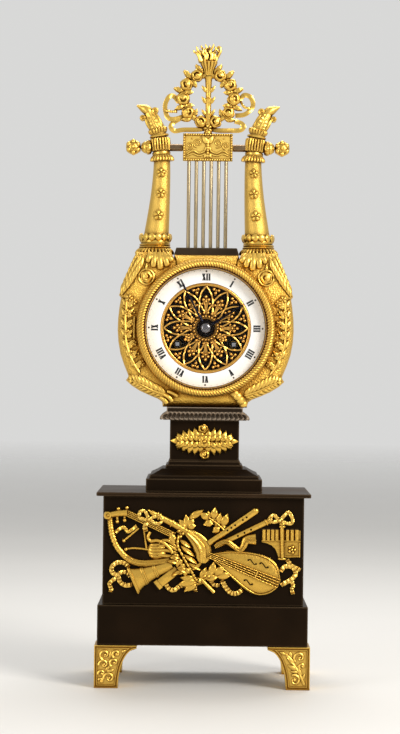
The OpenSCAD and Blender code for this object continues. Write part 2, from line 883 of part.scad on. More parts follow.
module string_plaque() {
    rim = 1.6;
    color(gilt)
        translate([0, 0, dial_z + plaque_z])
            difference() {
                translate([-plaque_w / 2, plaque_y - plaque_t, 0])
                    cube([plaque_w, plaque_t, plaque_h]);
                translate([-plaque_w / 2 + rim, plaque_y - plaque_t - over, rim])
                    cube([plaque_w - 2 * rim, over + 1, plaque_h - 2 * rim]);
            }
}

module string_bridge() {
    bevel = 1.8;
    color(bronze)
        translate([0, 0, dial_z + bridge_z])
            upright(string_y - 8, string_y + 8)
                polygon([[-bridge_w / 2, 0], [bridge_w / 2, 0], [bridge_w / 2 - bevel, bridge_h],
                    [bevel - bridge_w / 2, bridge_h]]);
}

module lyre_strings() {
    low = bridge_z + bridge_h;
    color(brass)
        for (i = [0:string_n - 1])
            translate([(i - (string_n - 1) / 2) * string_gap, string_y, dial_z + low])
                cylinder(d = string_d, h = plaque_z - low);
}

module wreath_crest() {
    foot_z = dial_z + plaque_z + plaque_h;
    ring_z = wreath_r + rose_r + 4.5;
    cup_h = 14;
    flames = [[-4.5, 2.6, 0.72], [0, 3.2, 1], [4.5, 2.6, 0.8]];
    bow_z = 4.6;
    color(gilt)
        translate([0, string_y, foot_z]) {
            // Torch
            cylinder(r1 = 2.6, r2 = 2.1, h = torch_h - cup_h);
            translate([0, 0, torch_h - cup_h])
                rotate_extrude()
                    polygon([[0, 0], [2.6, 0], [3.4, 1.4], [3, 3], [4.4, 8], [8, 13], [7.4, cup_h], [0, cup_h]]);
            for (f = flames)
                translate([f[0], 0, torch_h - over])
                    cylinder(r1 = f[1], r2 = 0.4, h = flame_h * f[2] + over);
            // Wreath of roses and leaves
            translate([0, 0, ring_z])
                rotate([90, 0, 0])
                    rotate_extrude()
                        translate([wreath_r, 0])
                            circle(r = 1.8, $fn = 24);
            for (i = [0:rose_n - 1])
                let (at = polar(wreath_r, (i + 0.5) * 360 / rose_n))
                translate([at[0], 0, ring_z + at[1]])
                    sphere(r = rose_r, $fn = 32);
            translate([0, 0, ring_z])
                upright(-1.2, 1.2)
                    for (i = [0:rose_n - 1], lean = [-40, 40])
                        translate(polar(wreath_r, i * 360 / rose_n))
                            rotate(i * 360 / rose_n + lean)
                                leaf_2d(8.5, 3.6);
            // Ribbon bow at the foot, and the knot on the plaque
            upright(-1.5, 1.5)
                for (side = [0, 180], lean = [-8, 20])
                    translate([0, bow_z])
                        rotate(side + (side > 0 ? -lean : lean))
                            leaf_2d(24, 5);
            translate([0, 0, 3])
                sphere(r = 3, $fn = 32);
        }
}

// Bezel: a half-round ring, hinged on the left, with a rebate for its glass
glass_t = 1.4;
glass_r = bezel_in + 1.4;
glass_y = bezel_y - bezel_depth + 1.2;

module dial_bezel() {
    mid = (bezel_r + bezel_in) / 2;
    half = (bezel_r - bezel_in) / 2;
    color(burnished)
        difference() {
            union() {
                turned()
                    difference() {
                        union() {
                            translate([bezel_in, bezel_y - bezel_depth + half])
                                square([2 * half, bezel_depth - half]);
                            // The half-round stops at the seat on the body
                            difference() {
                                translate([mid, bezel_y - bezel_depth + half])
                                    circle(r = half);
                                translate([bezel_in - over, bezel_y])
                                    square([2 * half + 2 * over, 2 * half]);
                            }
                        }
                        translate([0, glass_y])
                            square([glass_r + seat_gap, glass_t + seat_gap]);
                    }
                // Middle knuckle and its web to the ring
                translate([bezel_hinge[0], bezel_hinge[1], dial_z - bezel_hinge_half + pass_gap])
                    cylinder(r = knuckle_r, h = 2 * (bezel_hinge_half - pass_gap));
                translate([bezel_hinge[0], bezel_hinge[1] - knuckle_r, dial_z - bezel_hinge_half + pass_gap])
                    cube([knuckle_r + 3, 2 * knuckle_r, 2 * (bezel_hinge_half - pass_gap)]);
            }
            translate([bezel_hinge[0], bezel_hinge[1], dial_z - 2 * bezel_hinge_half])
                cylinder(r = hinge_pin_r + run_fit, h = 4 * bezel_hinge_half);
        }
}

module bezel_glass() {
    color([0.85, 0.92, 0.95, 0.2])
        shaft([0, 0], glass_r, glass_y, glass_y + glass_t);
}

module hinge_pins() {
    color(steel)
        for (h = [[bezel_hinge, bezel_hinge_half + ear_l], [door_hinge, door_hinge_half + ear_l]])
            translate([h[0][0], h[0][1], dial_z - h[1]])
                cylinder(r = hinge_pin_r, h = 2 * h[1]);
}

// Holes that the winding squares and the hands' pipes need through the dial
module dial_holes(y0, y1, pipe_r) {
    for (at = [going_at, strike_at])
        shaft(at, hole_r, y0 - over, y1 + over);
    shaft([0, 0], pipe_r, y0 - over, y1 + over);
}

dial_foot_r = 1.2;
dial_feet = [polar(41, 80), polar(41, 200), polar(41, 340)];
hour_pipe_r = 3.2;
hour_pipe_in = 2;
cannon_pipe_r = hour_pipe_in - run_fit;
cannon_in = 1.05;

module dial_plate() {
    color(bronze)
        difference() {
            union() {
                shaft([0, 0], enamel_r, dial_y, dial_y + dial_t);
                for (at = dial_feet)
                    shaft(at, dial_foot_r, dial_y + dial_t, front_y);
            }
            dial_holes(dial_y, dial_y + dial_t, hour_pipe_r + pass_gap);
        }
}

module chapter_ring() {
    crown = 0.5;
    color(enamel)
        turned()
            polygon([[enamel_in, enamel_y + crown], [(enamel_in + enamel_r) / 2, enamel_y],
                [enamel_r, enamel_y + crown], [enamel_r, dial_y], [enamel_in, dial_y]]);
}

// A flat ring round an arbor
module ring_on(at, r_in, r_out, y0, y1) {
    difference() {
        shaft(at, r_out, y0, y1);
        shaft(at, r_in, y0 - over, y1 + over);
    }
}

module dial_centre() {
    fret_t = 1.2;
    y = [dial_y - fret_t, dial_y];
    ring_in = enamel_in - inner_ring;
    hub_in = hour_pipe_r + pass_gap + 4;
    hub_out = hub_in + 2.4;
    root_w = 1.4;
    petal_w = 6.4;
    widest = (hub_out + ring_in) / 2 + 2;
    boss_r = hole_r + 1.4;
    color(burnished) {
        ring_on([0, 0], ring_in, enamel_in - seat_gap, y[0], y[1]);
        ring_on([0, 0], hub_in, hub_out, y[0], y[1]);
        for (at = [going_at, strike_at])
            ring_on(at, hole_r, boss_r, y[0], y[1]);
        difference() {
            for (i = [0:petal_n - 1])
                on_arbor([0, 0], y[0], y[1])
                    rotate(90 + i * 360 / petal_n)
                        polygon([[hub_out - 1, -root_w / 2], [widest, -petal_w / 2], [ring_in + 1, -root_w / 2],
                            [ring_in + 1, root_w / 2], [widest, petal_w / 2], [hub_out - 1, root_w / 2]]);
            for (at = [going_at, strike_at])
                shaft(at, hole_r + 0.5, y[0] - over, y[1] + over);
        }
    }
}

// A slender hand that points to angle, clockwise from twelve
module hand(length, root_w, boss_r, bore, angle, y) {
    tail = 2;
    tip_w = 0.5;
    on_arbor([0, 0], y, y + hand_t)
        difference() {
            union() {
                rotate(90 - angle)
                    polygon([[-tail, -root_w / 2], [length * 0.62, -root_w / 2 * 0.8], [length, -tip_w / 2],
                        [length, tip_w / 2], [length * 0.62, root_w / 2 * 0.8], [-tail, root_w / 2]]);
                circle(r = boss_r);
            }
            circle(r = bore);
        }
}

module hour_hand() {
    color(blued)
        hand(hour_len, 2.2, hour_pipe_r + 1.2, hour_pipe_r + seat_gap, 30 * (show_hour + show_minute / 60), hour_y);
}

module minute_hand() {
    color(blued)
        hand(minute_len, 1.8, cannon_pipe_r + 2, cannon_pipe_r + seat_gap, 6 * show_minute, minute_y);
}

module hand_nut() {
    collet_r = 6.8;
    nut_r = 4.4;
    bore_r = centre_r + run_fit;
    bore_y = minute_y - collet_t - pass_gap;
    top = minute_y - collet_t - nut_h;
    color(steel)
        turned()
            polygon([[0, top], [nut_r * 0.6, top + 0.3], [nut_r, top + 1.2], [nut_r, minute_y - collet_t],
                [collet_r, minute_y - collet_t + 0.4], [collet_r, minute_y], [bore_r, minute_y], [bore_r, bore_y],
                [0, bore_y]]);
}

// Drum: the case of the movement, with a slot below for the pendulum's rod
module movement_drum() {
    slot_y = pendulum_y - rod_r - 3;
    color(brass)
        difference() {
            union() {
                shaft([0, 0], drum_r, drum_y, drum_back);
                for (end = [-1, 1])
                    difference() {
                        door_ear(end * (door_hinge_half + ear_l / 2), ear_l / 2, drum_back - 6);
                        translate([door_hinge[0], door_hinge[1], dial_z - 20])
                            cylinder(r = hinge_pin_r + seat_gap, h = 40);
                    }
            }
            shaft([0, 0], drum_r - drum_wall, drum_y - over, drum_back + over);
            translate([-slot_half, slot_y, dial_z - drum_r - over])
                cube([2 * slot_half, drum_back, drum_r / 2]);
        }
}

// An ear of the door's hinge, with a web that runs forward along the drum
module door_ear(z, half, y0) {
    translate([door_hinge[0], door_hinge[1], dial_z + z - half])
        cylinder(r = knuckle_r, h = 2 * half);
    translate([door_hinge[0] - knuckle_r, y0, dial_z + z - half])
        cube([2 * knuckle_r, door_hinge[1] - y0, 2 * half]);
    translate([door_hinge[0] - knuckle_r, y0, dial_z + z - half])
        cube([door_r - drum_r + 2 * knuckle_r + 3, drum_back - y0 - pass_gap, 2 * half]);
}

module rear_door() {
    slots = 18;
    color(brass)
        difference() {
            union() {
                shaft([0, 0], door_r, door_y, door_y + door_t);
                translate([door_hinge[0], door_hinge[1], dial_z - door_hinge_half + pass_gap])
                    cylinder(r = knuckle_r, h = 2 * (door_hinge_half - pass_gap));
                translate([door_hinge[0], door_y, dial_z - door_hinge_half + pass_gap])
                    cube([knuckle_r + 8, min(door_t, knuckle_r), 2 * (door_hinge_half - pass_gap)]);
                // Pull knob opposite the hinge
                shaft([door_r - 6, 0], 2.4, door_y + door_t, door_y + door_t + 2.4);
            }
            for (i = [0:slots - 1])
                shaft(polar(34, i * 360 / slots), 3, door_y - over, door_y + door_t + over);
            translate([door_hinge[0], door_hinge[1], dial_z - 2 * door_hinge_half])
                cylinder(r = hinge_pin_r + run_fit, h = 4 * door_hinge_half);
        }
}

// Plates, with a hole for each arbor's pivot
train_arbors = [inter_at, third_at, escape_at, second_at, pin_at, stop_at, fly_at];
wind_pivot_r = 2.9;
wind_back_r = 1.6;
centre_r = 1;
anchor_r = 1;
hammer_r = 1.2;

module plate_holes(y, wind_r, anchor_hole, hammer_hole) {
    for (at = train_arbors)
        shaft(at, pivot_r + run_fit, y - over, y + plate_t + over);
    for (at = [going_at, strike_at])
        shaft(at, wind_r + run_fit, y - over, y + plate_t + over);
    shaft(centre_at, centre_r + run_fit, y - over, y + plate_t + over);
    shaft(anchor_at, anchor_hole + run_fit, y - over, y + plate_t + over);
    shaft(hammer_at, hammer_hole + run_fit, y - over, y + plate_t + over);
}

module front_plate() {
    color(brass) {
        difference() {
            shaft([0, 0], plate_r, front_y, inside_y);
            plate_holes(front_y, wind_pivot_r, pivot_r, pivot_r);
        }
        // Post of the minute wheel
        shaft(minute_at, centre_r, hour_wheel_y[0] - 1, front_y);
    }
}

module back_plate() {
    strap_w = 8;
    color(brass) {
        difference() {
            shaft([0, 0], plate_r, back_y, outside_y);
            plate_holes(back_y, wind_back_r, anchor_r, hammer_r);
        }
        // Lugs that seat the movement in the drum
        for (a = [60, 180, 300])
            on_arbor([0, 0], back_y, outside_y)
                rotate(a)
                    translate([plate_r - 3, -strap_w / 2])
                        square([drum_r - drum_wall - plate_r + 2.6, strap_w]);
    }
}

module plate_pillars() {
    color(brass)
        for (at = pillars_at) {
            shaft(at, pillar_r, inside_y, back_y);
        }
}

// Barrels: a drum with a toothed rim in front, turning on the winding arbor
wind_core_r = 3;

module barrel(at, mate) {
    wall = 1.2;
    color(brass) {
        difference() {
            shaft(at, barrel_r, barrel_y[0], barrel_y[1]);
            shaft(at, barrel_r - wall, barrel_y[0] - over, barrel_y[1] - wall);
            shaft(at, wind_core_r + run_fit, barrel_y[0], barrel_y[1] + over);
        }
        on_arbor(at, great_y[0], great_y[1])
            difference() {
                teeth_2d(great_n, wheel_tooth(great_n * great_m / 2, great_m), bearing(at, mate));
                circle(r = wind_core_r + run_fit);
            }
    }
}

// A coiled ribbon spring between the arbor and the barrel's wall
module mainspring(at) {
    turns = 7;
    per_turn = 20;
    r0 = wind_core_r + 0.8;
    r1 = barrel_r - 1.2 - 0.15;
    t = 0.5;
    n = turns * per_turn;
    function coil(i) = r0 + (r1 - r0) * i / n;
    color(steel)
        on_arbor(at, barrel_y[0] + 0.4, barrel_y[1] - 1.6)
            polygon(concat(
                [for (i = [0:n]) polar(coil(i), i * 360 / per_turn)],
                [for (i = [n:-1:0]) polar(coil(i) - t, i * 360 / per_turn)]));
}

module winding_arbor(at) {
    color(steel) {
        shaft(at, wind_back_r, back_y, outside_y);
        shaft(at, wind_core_r, inside_y + 0.2, back_y - 0.2);
        shaft(at, wind_back_r, back_y - 0.2, back_y);
        shaft(at, wind_pivot_r, front_y - 0.5, inside_y + 0.2);
        on_arbor(at, enamel_y + 0.6, front_y - 0.5)
            square(wind_square, center = true);
    }
}

module going_barrel() { barrel(going_at, inter_at); }
module strike_barrel() { barrel(strike_at, second_at); }
module going_mainspring() { mainspring(going_at); }
module strike_mainspring() { mainspring(strike_at); }
module going_arbor() { winding_arbor(going_at); }
module strike_arbor() { winding_arbor(strike_at); }

module intermediate_wheel() {
    color(brass)
        train(inter_at, inter_n, inter_m, centre_at, second_y, great_pinion_n, great_m, going_at, great_y);
}

module centre_wheel() {
    color(brass) {
        shaft(centre_at, centre_r, minute_y - collet_t, outside_y);
        on_arbor(centre_at, centre_y[0], centre_y[1])
            wheel_2d(centre_n, centre_m, bearing(centre_at, third_at), centre_r - 0.2);
        on_arbor(centre_at, second_y[0] - pinion_reach, second_y[1] + pinion_reach)
            pinion_2d(centre_pinion_n, inter_m, bearing(centre_at, inter_at));
    }
}

module third_wheel() {
    color(brass)
        train(third_at, third_n, third_m, escape_at, third_y, third_pinion_n, centre_m, centre_at, centre_y);
}

module escape_wheel() {
    root = escape_r - 1.5;
    hub = 2.2;
    color(brass) {
        arbor(escape_at);
        on_arbor(escape_at, escape_y[0], escape_y[1])
            difference() {
                polygon([for (i = [0:escape_n - 1]) for (t = [[root, -0.42], [escape_r, -0.06], [escape_r, 0.06], [root, 0.1]])
                    polar(t[0], (i + t[1]) * 360 / escape_n)]);
                difference() {
                    circle(r = root - 0.8);
                    circle(r = hub);
                    for (a = [45, 135])
                        rotate(a)
                            square([2 * escape_r, 0.9], center = true);
                }
            }
        on_arbor(escape_at, third_y[0] - pinion_reach, third_y[1] + pinion_reach)
            pinion_2d(escape_pinion_n, third_m, bearing(escape_at, third_at));
    }
}

// Anchor: two pallets over the escape wheel, and the crutch that takes the pendulum's rod
crutch_len = 27;
crutch_y = pendulum_y - 7;

module pallet_anchor() {
    // The pallets stand clear of the teeth at both ends of the swing
    pallet_reach = escape_r + 2.05;
    pallet_spread = 50.5;
    fork = rod_r + 0.35;
    pallets = [for (side = [-1, 1]) escape_at + polar(pallet_reach, 90 + side * pallet_spread)];
    color(steel) {
        shaft(anchor_at, anchor_r, inside_y + 0.4, crutch_y + 1.6);
        shaft(anchor_at, pivot_r, front_y, inside_y + 0.4);
        for (p = pallets)
            on_arbor([0, 0], escape_y[0], escape_y[1])
                bar_2d(anchor_at, p, 0.7);
        translate([-0.8, crutch_y, dial_z + anchor_at[1] - crutch_len])
            cube([1.6, 1.6, crutch_len]);
        // Fork round the rod
        translate([-fork - 1.2, crutch_y, dial_z + anchor_at[1] - crutch_len])
            difference() {
                cube([2 * fork + 2.4, pendulum_y - crutch_y + 2.4, 2]);
                translate([1.2, pendulum_y - crutch_y - rod_r - 1, -over])
                    cube([2 * fork, rod_r + 6, 2 + 2 * over]);
            }
    }
}

module suspension_cock() {
    width = 8;
    foot_top_z = 8;
    reach = pendulum_y + 4;
    color(brass)
        translate([anchor_at[0], 0, dial_z + anchor_at[1]]) {
            translate([-width / 2, outside_y, 3])
                cube([width, reach - outside_y, 2.4]);
            translate([-width / 2, outside_y, 3])
                cube([width, 2, foot_top_z - 3]);
            translate([-width / 2, reach - 2, -3])
                cube([width, 2, 8]);
            translate([0, reach - 1, 0])
                rotate([90, 0, 0])
                    cylinder(r = stud_r, h = reach - 1 - (pendulum_y - 2.6));
        }
}

module pendulum() {
    eye_r = 2.4;
    rating_r = 2.2;
    color(brass)
        translate([anchor_at[0], pendulum_y, dial_z + anchor_at[1]]) {
            difference() {
                union() {
                    translate([0, 1.6, 0])
                        rotate([90, 0, 0])
                            cylinder(r = eye_r, h = 3.2);
                    translate([0, 0, -pendulum_len])
                        cylinder(r = rod_r, h = pendulum_len - stud_r);
                }
                translate([0, 3, 0])
                    rotate([90, 0, 0])
                        cylinder(r = stud_r + run_fit, h = 6);
            }
            // Lens-shaped bob and the rating nut under it
            translate([0, 0, -pendulum_len])
                rotate([90, 0, 0])
                    rotate_extrude()
                        polygon([[0, -bob_t / 2], [bob_r * 0.55, -bob_t * 0.4], [bob_r, -0.6], [bob_r, 0.6],
                            [bob_r * 0.55, bob_t * 0.4], [0, bob_t / 2]]);
            translate([0, 0, -pendulum_len - bob_r - 3])
                cylinder(r = rating_r, h = 2);
            translate([0, 0, -pendulum_len - bob_r - 4])
                cylinder(r = rod_r, h = bob_r);
        }
}

// Motion work between the dial and the front plate
module cannon_pinion() {
    color(brass)
        difference() {
            union() {
                on_arbor(centre_at, minute_wheel_y[0] - 0.4, minute_wheel_y[1] + 0.4)
                    pinion_2d(cannon_n, cannon_m, bearing(centre_at, minute_at));
                shaft(centre_at, cannon_pipe_r, minute_y, minute_wheel_y[0] - 0.4);
            }
            shaft(centre_at, cannon_in, minute_y - over, minute_wheel_y[1] + over);
        }
}

module minute_wheel() {
    color(brass)
        difference() {
            union() {
                on_arbor(minute_at, minute_wheel_y[0], minute_wheel_y[1])
                    wheel_2d(minute_n, cannon_m, bearing(minute_at, centre_at), centre_r - 0.2);
                on_arbor(minute_at, hour_wheel_y[0] - 0.4, minute_wheel_y[0])
                    pinion_2d(minute_pinion_n, hour_m, bearing(minute_at, centre_at));
            }
            shaft(minute_at, centre_r + run_fit, hour_wheel_y[0] - 2, minute_wheel_y[1] + over);
        }
}

module hour_wheel() {
    color(brass)
        difference() {
            union() {
                on_arbor(centre_at, hour_wheel_y[0], hour_wheel_y[1])
                    wheel_2d(hour_n, hour_m, bearing(centre_at, minute_at), hour_pipe_r - 0.4);
                shaft(centre_at, hour_pipe_r, hour_y, hour_wheel_y[1]);
            }
            shaft(centre_at, hour_pipe_in, hour_y - over, hour_wheel_y[1] + over);
        }
}

// Strike train; the second wheel also carries the notched count wheel behind the back plate
module strike_second_wheel() {
    count_r = 10.5;
    notches = 12;
    notch = 1;
    color(brass) {
        train(second_at, second_n, second_m, pin_at, second_y, great_pinion_n, great_m, strike_at, great_y);
        shaft(second_at, pivot_r, outside_y, outside_y + 2);
        on_arbor(second_at, outside_y + 0.6, outside_y + 2)
            difference() {
                circle(r = count_r);
                // The gaps widen with the number of blows
                for (i = [1:notches])
                    rotate(360 * i * (i + 1) / (notches * (notches + 1)))
                        translate([count_r - 1.5, -notch / 2])
                            square([3, notch]);
            }
    }
}

module pin_wheel() {
    pins = 10;
    color(brass) {
        train(pin_at, pin_n, pin_m, stop_at, pin_y, pin_pinion_n, second_m, second_at, second_y);
        for (i = [0:pins - 1])
            shaft(pin_at + polar(pin_n * pin_m / 2 - 1.6, i * 360 / pins), 0.4, pin_y[1], pin_y[1] + 2);
    }
}

module stop_wheel() {
    color(brass)
        train(stop_at, stop_n, stop_m, fly_at, stop_y, stop_pinion_n, pin_m, pin_at, pin_y);
}

module fly() {
    vane = 8.4;
    color(brass) {
        arbor(fly_at);
        on_arbor(fly_at, stop_y[0] - pinion_reach, stop_y[1] + pinion_reach)
            pinion_2d(fly_pinion_n, stop_m, bearing(fly_at, stop_at));
        on_arbor(fly_at, -3, 3)
            square([vane, 0.5], center = true);
    }
}

module hammer() {
    arm_depth = [20.2, 21.8];
    head_r = 2.4;
    head_x = bell_at[0] - bell_r - 0.8;
    head_l = 6;
    mid_y = (arm_depth[0] + arm_depth[1]) / 2;
    color(steel) {
        shaft(hammer_at, hammer_r, inside_y + 0.4, arm_depth[1]);
        shaft(hammer_at, pivot_r, front_y, inside_y + 0.4);
        translate([0, 0, dial_z]) {
            rod([hammer_at[0], mid_y, hammer_at[1]], [head_x - head_l / 2, mid_y, bell_at[1]], 0.9);
            translate([head_x - head_l, mid_y, bell_at[1]])
                rotate([0, 90, 0])
                    cylinder(r = head_r, h = head_l);
        }
        // Tail towards the pins
        on_arbor(hammer_at, pin_y[1] + 0.6, pin_y[1] + 1.8)
            rotate(bearing(hammer_at, pin_at))
                translate([0, -0.8])
                    square([3.6, 1.6]);
    }
}

module bell() {
    dome = bell_y[1] - bell_y[0];
    color([0.75, 0.68, 0.45])
        difference() {
            turned(bell_at)
                difference() {
                    polygon([[0, bell_y[1]], [bell_r * 0.5, bell_y[1] - dome * 0.1], [bell_r * 0.85, bell_y[1] - dome * 0.45],
                        [bell_r, bell_y[0]], [bell_r - bell_wall, bell_y[0]],
                        [bell_r * 0.85 - bell_wall, bell_y[1] - dome * 0.45 - bell_wall / 2],
                        [bell_r * 0.5, bell_y[1] - dome * 0.1 - bell_wall], [0, bell_y[1] - bell_wall]]);
                }
            shaft(bell_at, 1.5 + seat_gap, bell_y[0], bell_y[1] + over);
        }
}

module bell_stand() {
    // The shoulder stops under the dome's slope
    seat_y = bell_y[1] - bell_wall - pass_gap;
    color(steel) {
        shaft(bell_at, 2.4, outside_y, seat_y);
        shaft(bell_at, 1.5, seat_y, bell_y[1] + 2);
        shaft(bell_at, 3, bell_y[1], bell_y[1] + 1.6);
    }
}

foot_front_left();
foot_front_right();
foot_rear_left();
foot_rear_right();
base_block();
base_die();
base_slab();
tie_rod();
trophy_mount();
pedestal_foot();
pedestal_die();
pedestal_cap();
pedestal_mount();
lyre_front();
lyre_back();
arm_left();
arm_right();
yoke_bar();
yoke_knobs();
string_plaque();
string_bridge();
lyre_strings();
wreath_crest();
dial_bezel();
bezel_glass();
dial_plate();
chapter_ring();
dial_centre();
hour_hand();
minute_hand();
hand_nut();
movement_drum();
rear_door();
hinge_pins();
front_plate();
back_plate();
plate_pillars();
going_barrel();
going_mainspring();
going_arbor();
strike_barrel();
strike_mainspring();
strike_arbor();
intermediate_wheel();
centre_wheel();
third_wheel();
escape_wheel();
pallet_anchor();
suspension_cock();
pendulum();
cannon_pinion();
minute_wheel();
hour_wheel();
strike_second_wheel();
pin_wheel();
stop_wheel();
fly();
hammer();
bell();
bell_stand();
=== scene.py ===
"""Looks of the lyre mantel clock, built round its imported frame.

Lengths are millimetres until a mesh is made, which turns them to metres.
The frame is the part's own: +Z up, +X to the viewer's right, the dial facing -Y.
"""

import logging
from dataclasses import dataclass
from enum import Enum
from typing import Callable, Iterable, Sequence

import bpy
import numpy as np
from mathutils import Matrix, Vector


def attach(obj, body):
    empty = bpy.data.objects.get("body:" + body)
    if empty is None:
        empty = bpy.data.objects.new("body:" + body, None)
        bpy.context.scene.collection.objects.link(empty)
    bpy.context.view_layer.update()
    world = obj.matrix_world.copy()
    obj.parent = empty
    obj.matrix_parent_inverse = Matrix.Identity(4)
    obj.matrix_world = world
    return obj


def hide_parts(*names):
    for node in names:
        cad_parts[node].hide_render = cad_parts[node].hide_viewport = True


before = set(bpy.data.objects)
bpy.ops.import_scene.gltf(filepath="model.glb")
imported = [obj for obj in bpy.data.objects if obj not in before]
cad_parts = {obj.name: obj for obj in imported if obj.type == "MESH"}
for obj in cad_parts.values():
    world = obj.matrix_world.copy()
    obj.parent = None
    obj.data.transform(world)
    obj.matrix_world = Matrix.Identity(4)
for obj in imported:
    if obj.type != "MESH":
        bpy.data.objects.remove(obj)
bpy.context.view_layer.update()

log = logging.getLogger("lyre_clock")
Array = np.ndarray
Material = bpy.types.Material
Triple = tuple[float, float, float]
Spot = Sequence[float]
Line = Sequence[Spot]
Ring = Callable[[Array, Array], Array]
MM = 0.001
TAU = 2 * np.pi
FRONT = np.array([0.0, -1.0, 0.0])
UP = np.array([0.0, 0.0, 1.0])
RIGHT = np.array([1.0, 0.0, 0.0])
SIDES = (-1, 1)
DIAL_Z = 298.9


class Body(Enum):
    """CAD bodies that new pieces ride on."""

    CASE = "case"
    BEZEL = "bezel"
    HOUR = "hour"
    MINUTE = "minute"
    GOING = "going_arbor"
    STRIKE = "strike_arbor"


class Slot(Enum):
    """Material slots of the record, passed to make_piece with new pieces."""

    GILT = "gilt"
    DARK = "dark_bronze"
    STRING = "string_brass"
    ENAMEL = "enamel"
    BLUED = "blued_steel"
    STEEL = "steel"


@dataclass
class Shell:
    """One closed surface.

    Attributes:
        points: Places in millimetres, one row each.
        faces: Arrays of point numbers, each with faces of one size.
    """

    points: Array
    faces: list[Array]

    @staticmethod
    def join(shells: Iterable["Shell"]) -> "Shell":
        """Puts several shells into one, each with its own points.

        Args:
            shells: The shells.

        Returns:
            One shell with all their faces.
        """
        parts = list(shells)
        starts = np.cumsum([0] + [len(part.points) for part in parts])
        points = np.concatenate([part.points for part in parts])
        faces = [rows + start for part, start in zip(parts, starts) for rows in part.faces]
        return Shell(points, faces)

    def reversed(self) -> "Shell":
        """Returns the shell with its faces turned over."""
        return Shell(self.points, [rows[:, ::-1] for rows in self.faces])

    def mirrored(self) -> "Shell":
        """Returns the shell on the other side of the plane x = 0."""
        return Shell(self.points * (-1.0, 1.0, 1.0), self.faces).reversed()

    def moved(self, shift: Spot) -> "Shell":
        """Returns the shell moved by shift."""
        return Shell(self.points + np.asarray(shift, float), self.faces)

    def outward(self) -> "Shell":
        """Turns the faces outwards: the volume that they enclose, summed over face fans, is then positive.

        Returns:
            This shell, or one with its faces reversed.
        """
        volume = 0.0
        for rows in self.faces:
            first = self.points[rows[:, 0]]
            for k in range(1, rows.shape[1] - 1):
                second = self.points[rows[:, k]]
                third = self.points[rows[:, k + 1]]
                volume += np.einsum("ij,ij->", first, np.cross(second, third))
        return self if volume >= 0 else self.reversed()


Shells = Iterable[Shell]


def unit(v: Array) -> Array:
    """Returns v, or each row of it, at length one."""
    return v / np.maximum(np.linalg.norm(v, axis=-1, keepdims=True), 1e-9)


def angles(count: int) -> Array:
    """Returns count even steps round a full turn, the last one short of the first."""
    return np.linspace(0, TAU, count, endpoint=False)


def grid_shell(points: Array, wrap: bool = False) -> Shell:
    """Closed surface over a grid of points [row, place round the row].

    Each row is a closed ring. The rows are joined in order; the first and last are capped, or joined to each
    other where wrap is set.

    Args:
        points: Grid of places, rows by columns by three.
        wrap: Whether the last row joins the first.

    Returns:
        The closed shell, facing outwards.
    """
    rows, columns = points.shape[:2]
    number = np.arange(rows * columns).reshape(rows, columns)
    here = number if wrap else number[:-1]
    after = np.roll(number, -1, 0) if wrap else number[1:]
    quads = np.stack([here, np.roll(here, -1, 1), np.roll(after, -1, 1), after], -1).reshape(-1, 4)
    caps = [] if wrap else [number[:1, ::-1], number[-1:]]
    return Shell(points.reshape(-1, 3), [quads, *caps]).outward()


def smooth_path(keys: Line, count: int) -> Array:
    """Points along a Catmull-Rom curve, which passes each key with the slope of its neighbours' chord.

    Args:
        keys: The places to pass through.
        count: The number of points.

    Returns:
        The points, count rows.
    """
    p = np.asarray(keys, float)
    last = len(p) - 1
    t = np.linspace(0, last, count)
    i = np.minimum(t.astype(int), last - 1)
    u = (t - i)[:, None]
    a, b, c, d = (p[np.clip(i + k, 0, last)] for k in (-1, 0, 1, 2))
    square, cube = 2 * a - 5 * b + 4 * c - d, 3 * b - a - 3 * c + d
    return 0.5 * (2 * b + (c - a) * u + square * u ** 2 + cube * u ** 3)


def smooth_sizes(sizes: Spot, count: int) -> Array:
    """Returns count numbers on a smooth curve through sizes."""
    return smooth_path([(size,) for size in sizes], count)[:, 0]


def stepped(shares: Spot, sizes: Spot, count: int = 60) -> Array:
    """Returns count numbers on straight lines through sizes, which stand at the given shares of the way."""
    return np.interp(np.linspace(0, 1, count), shares, sizes)


def on_plane(points: Array, y: float | Array) -> Array:
    """Stands [x, z] points up at depth y."""
    p = np.asarray(points, float)
    return np.stack([p[:, 0], np.broadcast_to(y, len(p)), p[:, 1]], -1)


def sweep(path: Array, wide: float | Array, deep: float | Array, sides: int = 12, ring: Ring | None = None,
          face: Array = FRONT) -> Shell:
    """Carries an ellipse along a path.

    A point is path(s) + wide cos(a) sideways + deep sin(a) towards face, times ring(s, a) where it is given.

    Args:
        path: Centreline, one row for each ring.
        wide: Half width in the plane across face, for each ring or for all.
        deep: Half depth towards face.
        sides: Points round a ring.
        ring: Radius factor as a function of the share s along the path and the angle a.
        face: Direction that the depth points to.

    Returns:
        The closed tube.
    """
    n = len(path)
    along = unit(np.gradient(path, axis=0))
    out = unit(face - (along @ face)[:, None] * along)
    side = np.cross(along, out)
    a = angles(sides)[None, :, None]
    s = np.linspace(0, 1, n)[:, None, None]
    w = np.broadcast_to(wide, n)[:, None, None]
    d = np.broadcast_to(deep, n)[:, None, None]
    factor = 1.0 if ring is None else ring(s, a)
    return grid_shell(path[:, None] + factor * (w * np.cos(a) * side[:, None] + d * np.sin(a) * out[:, None]))


def flat_ring(s: Array, a: Array) -> Array:
    """Section of a ribbon: a superellipse of the fourth power."""
    return (np.cos(a) ** 4 + np.sin(a) ** 4) ** -0.25


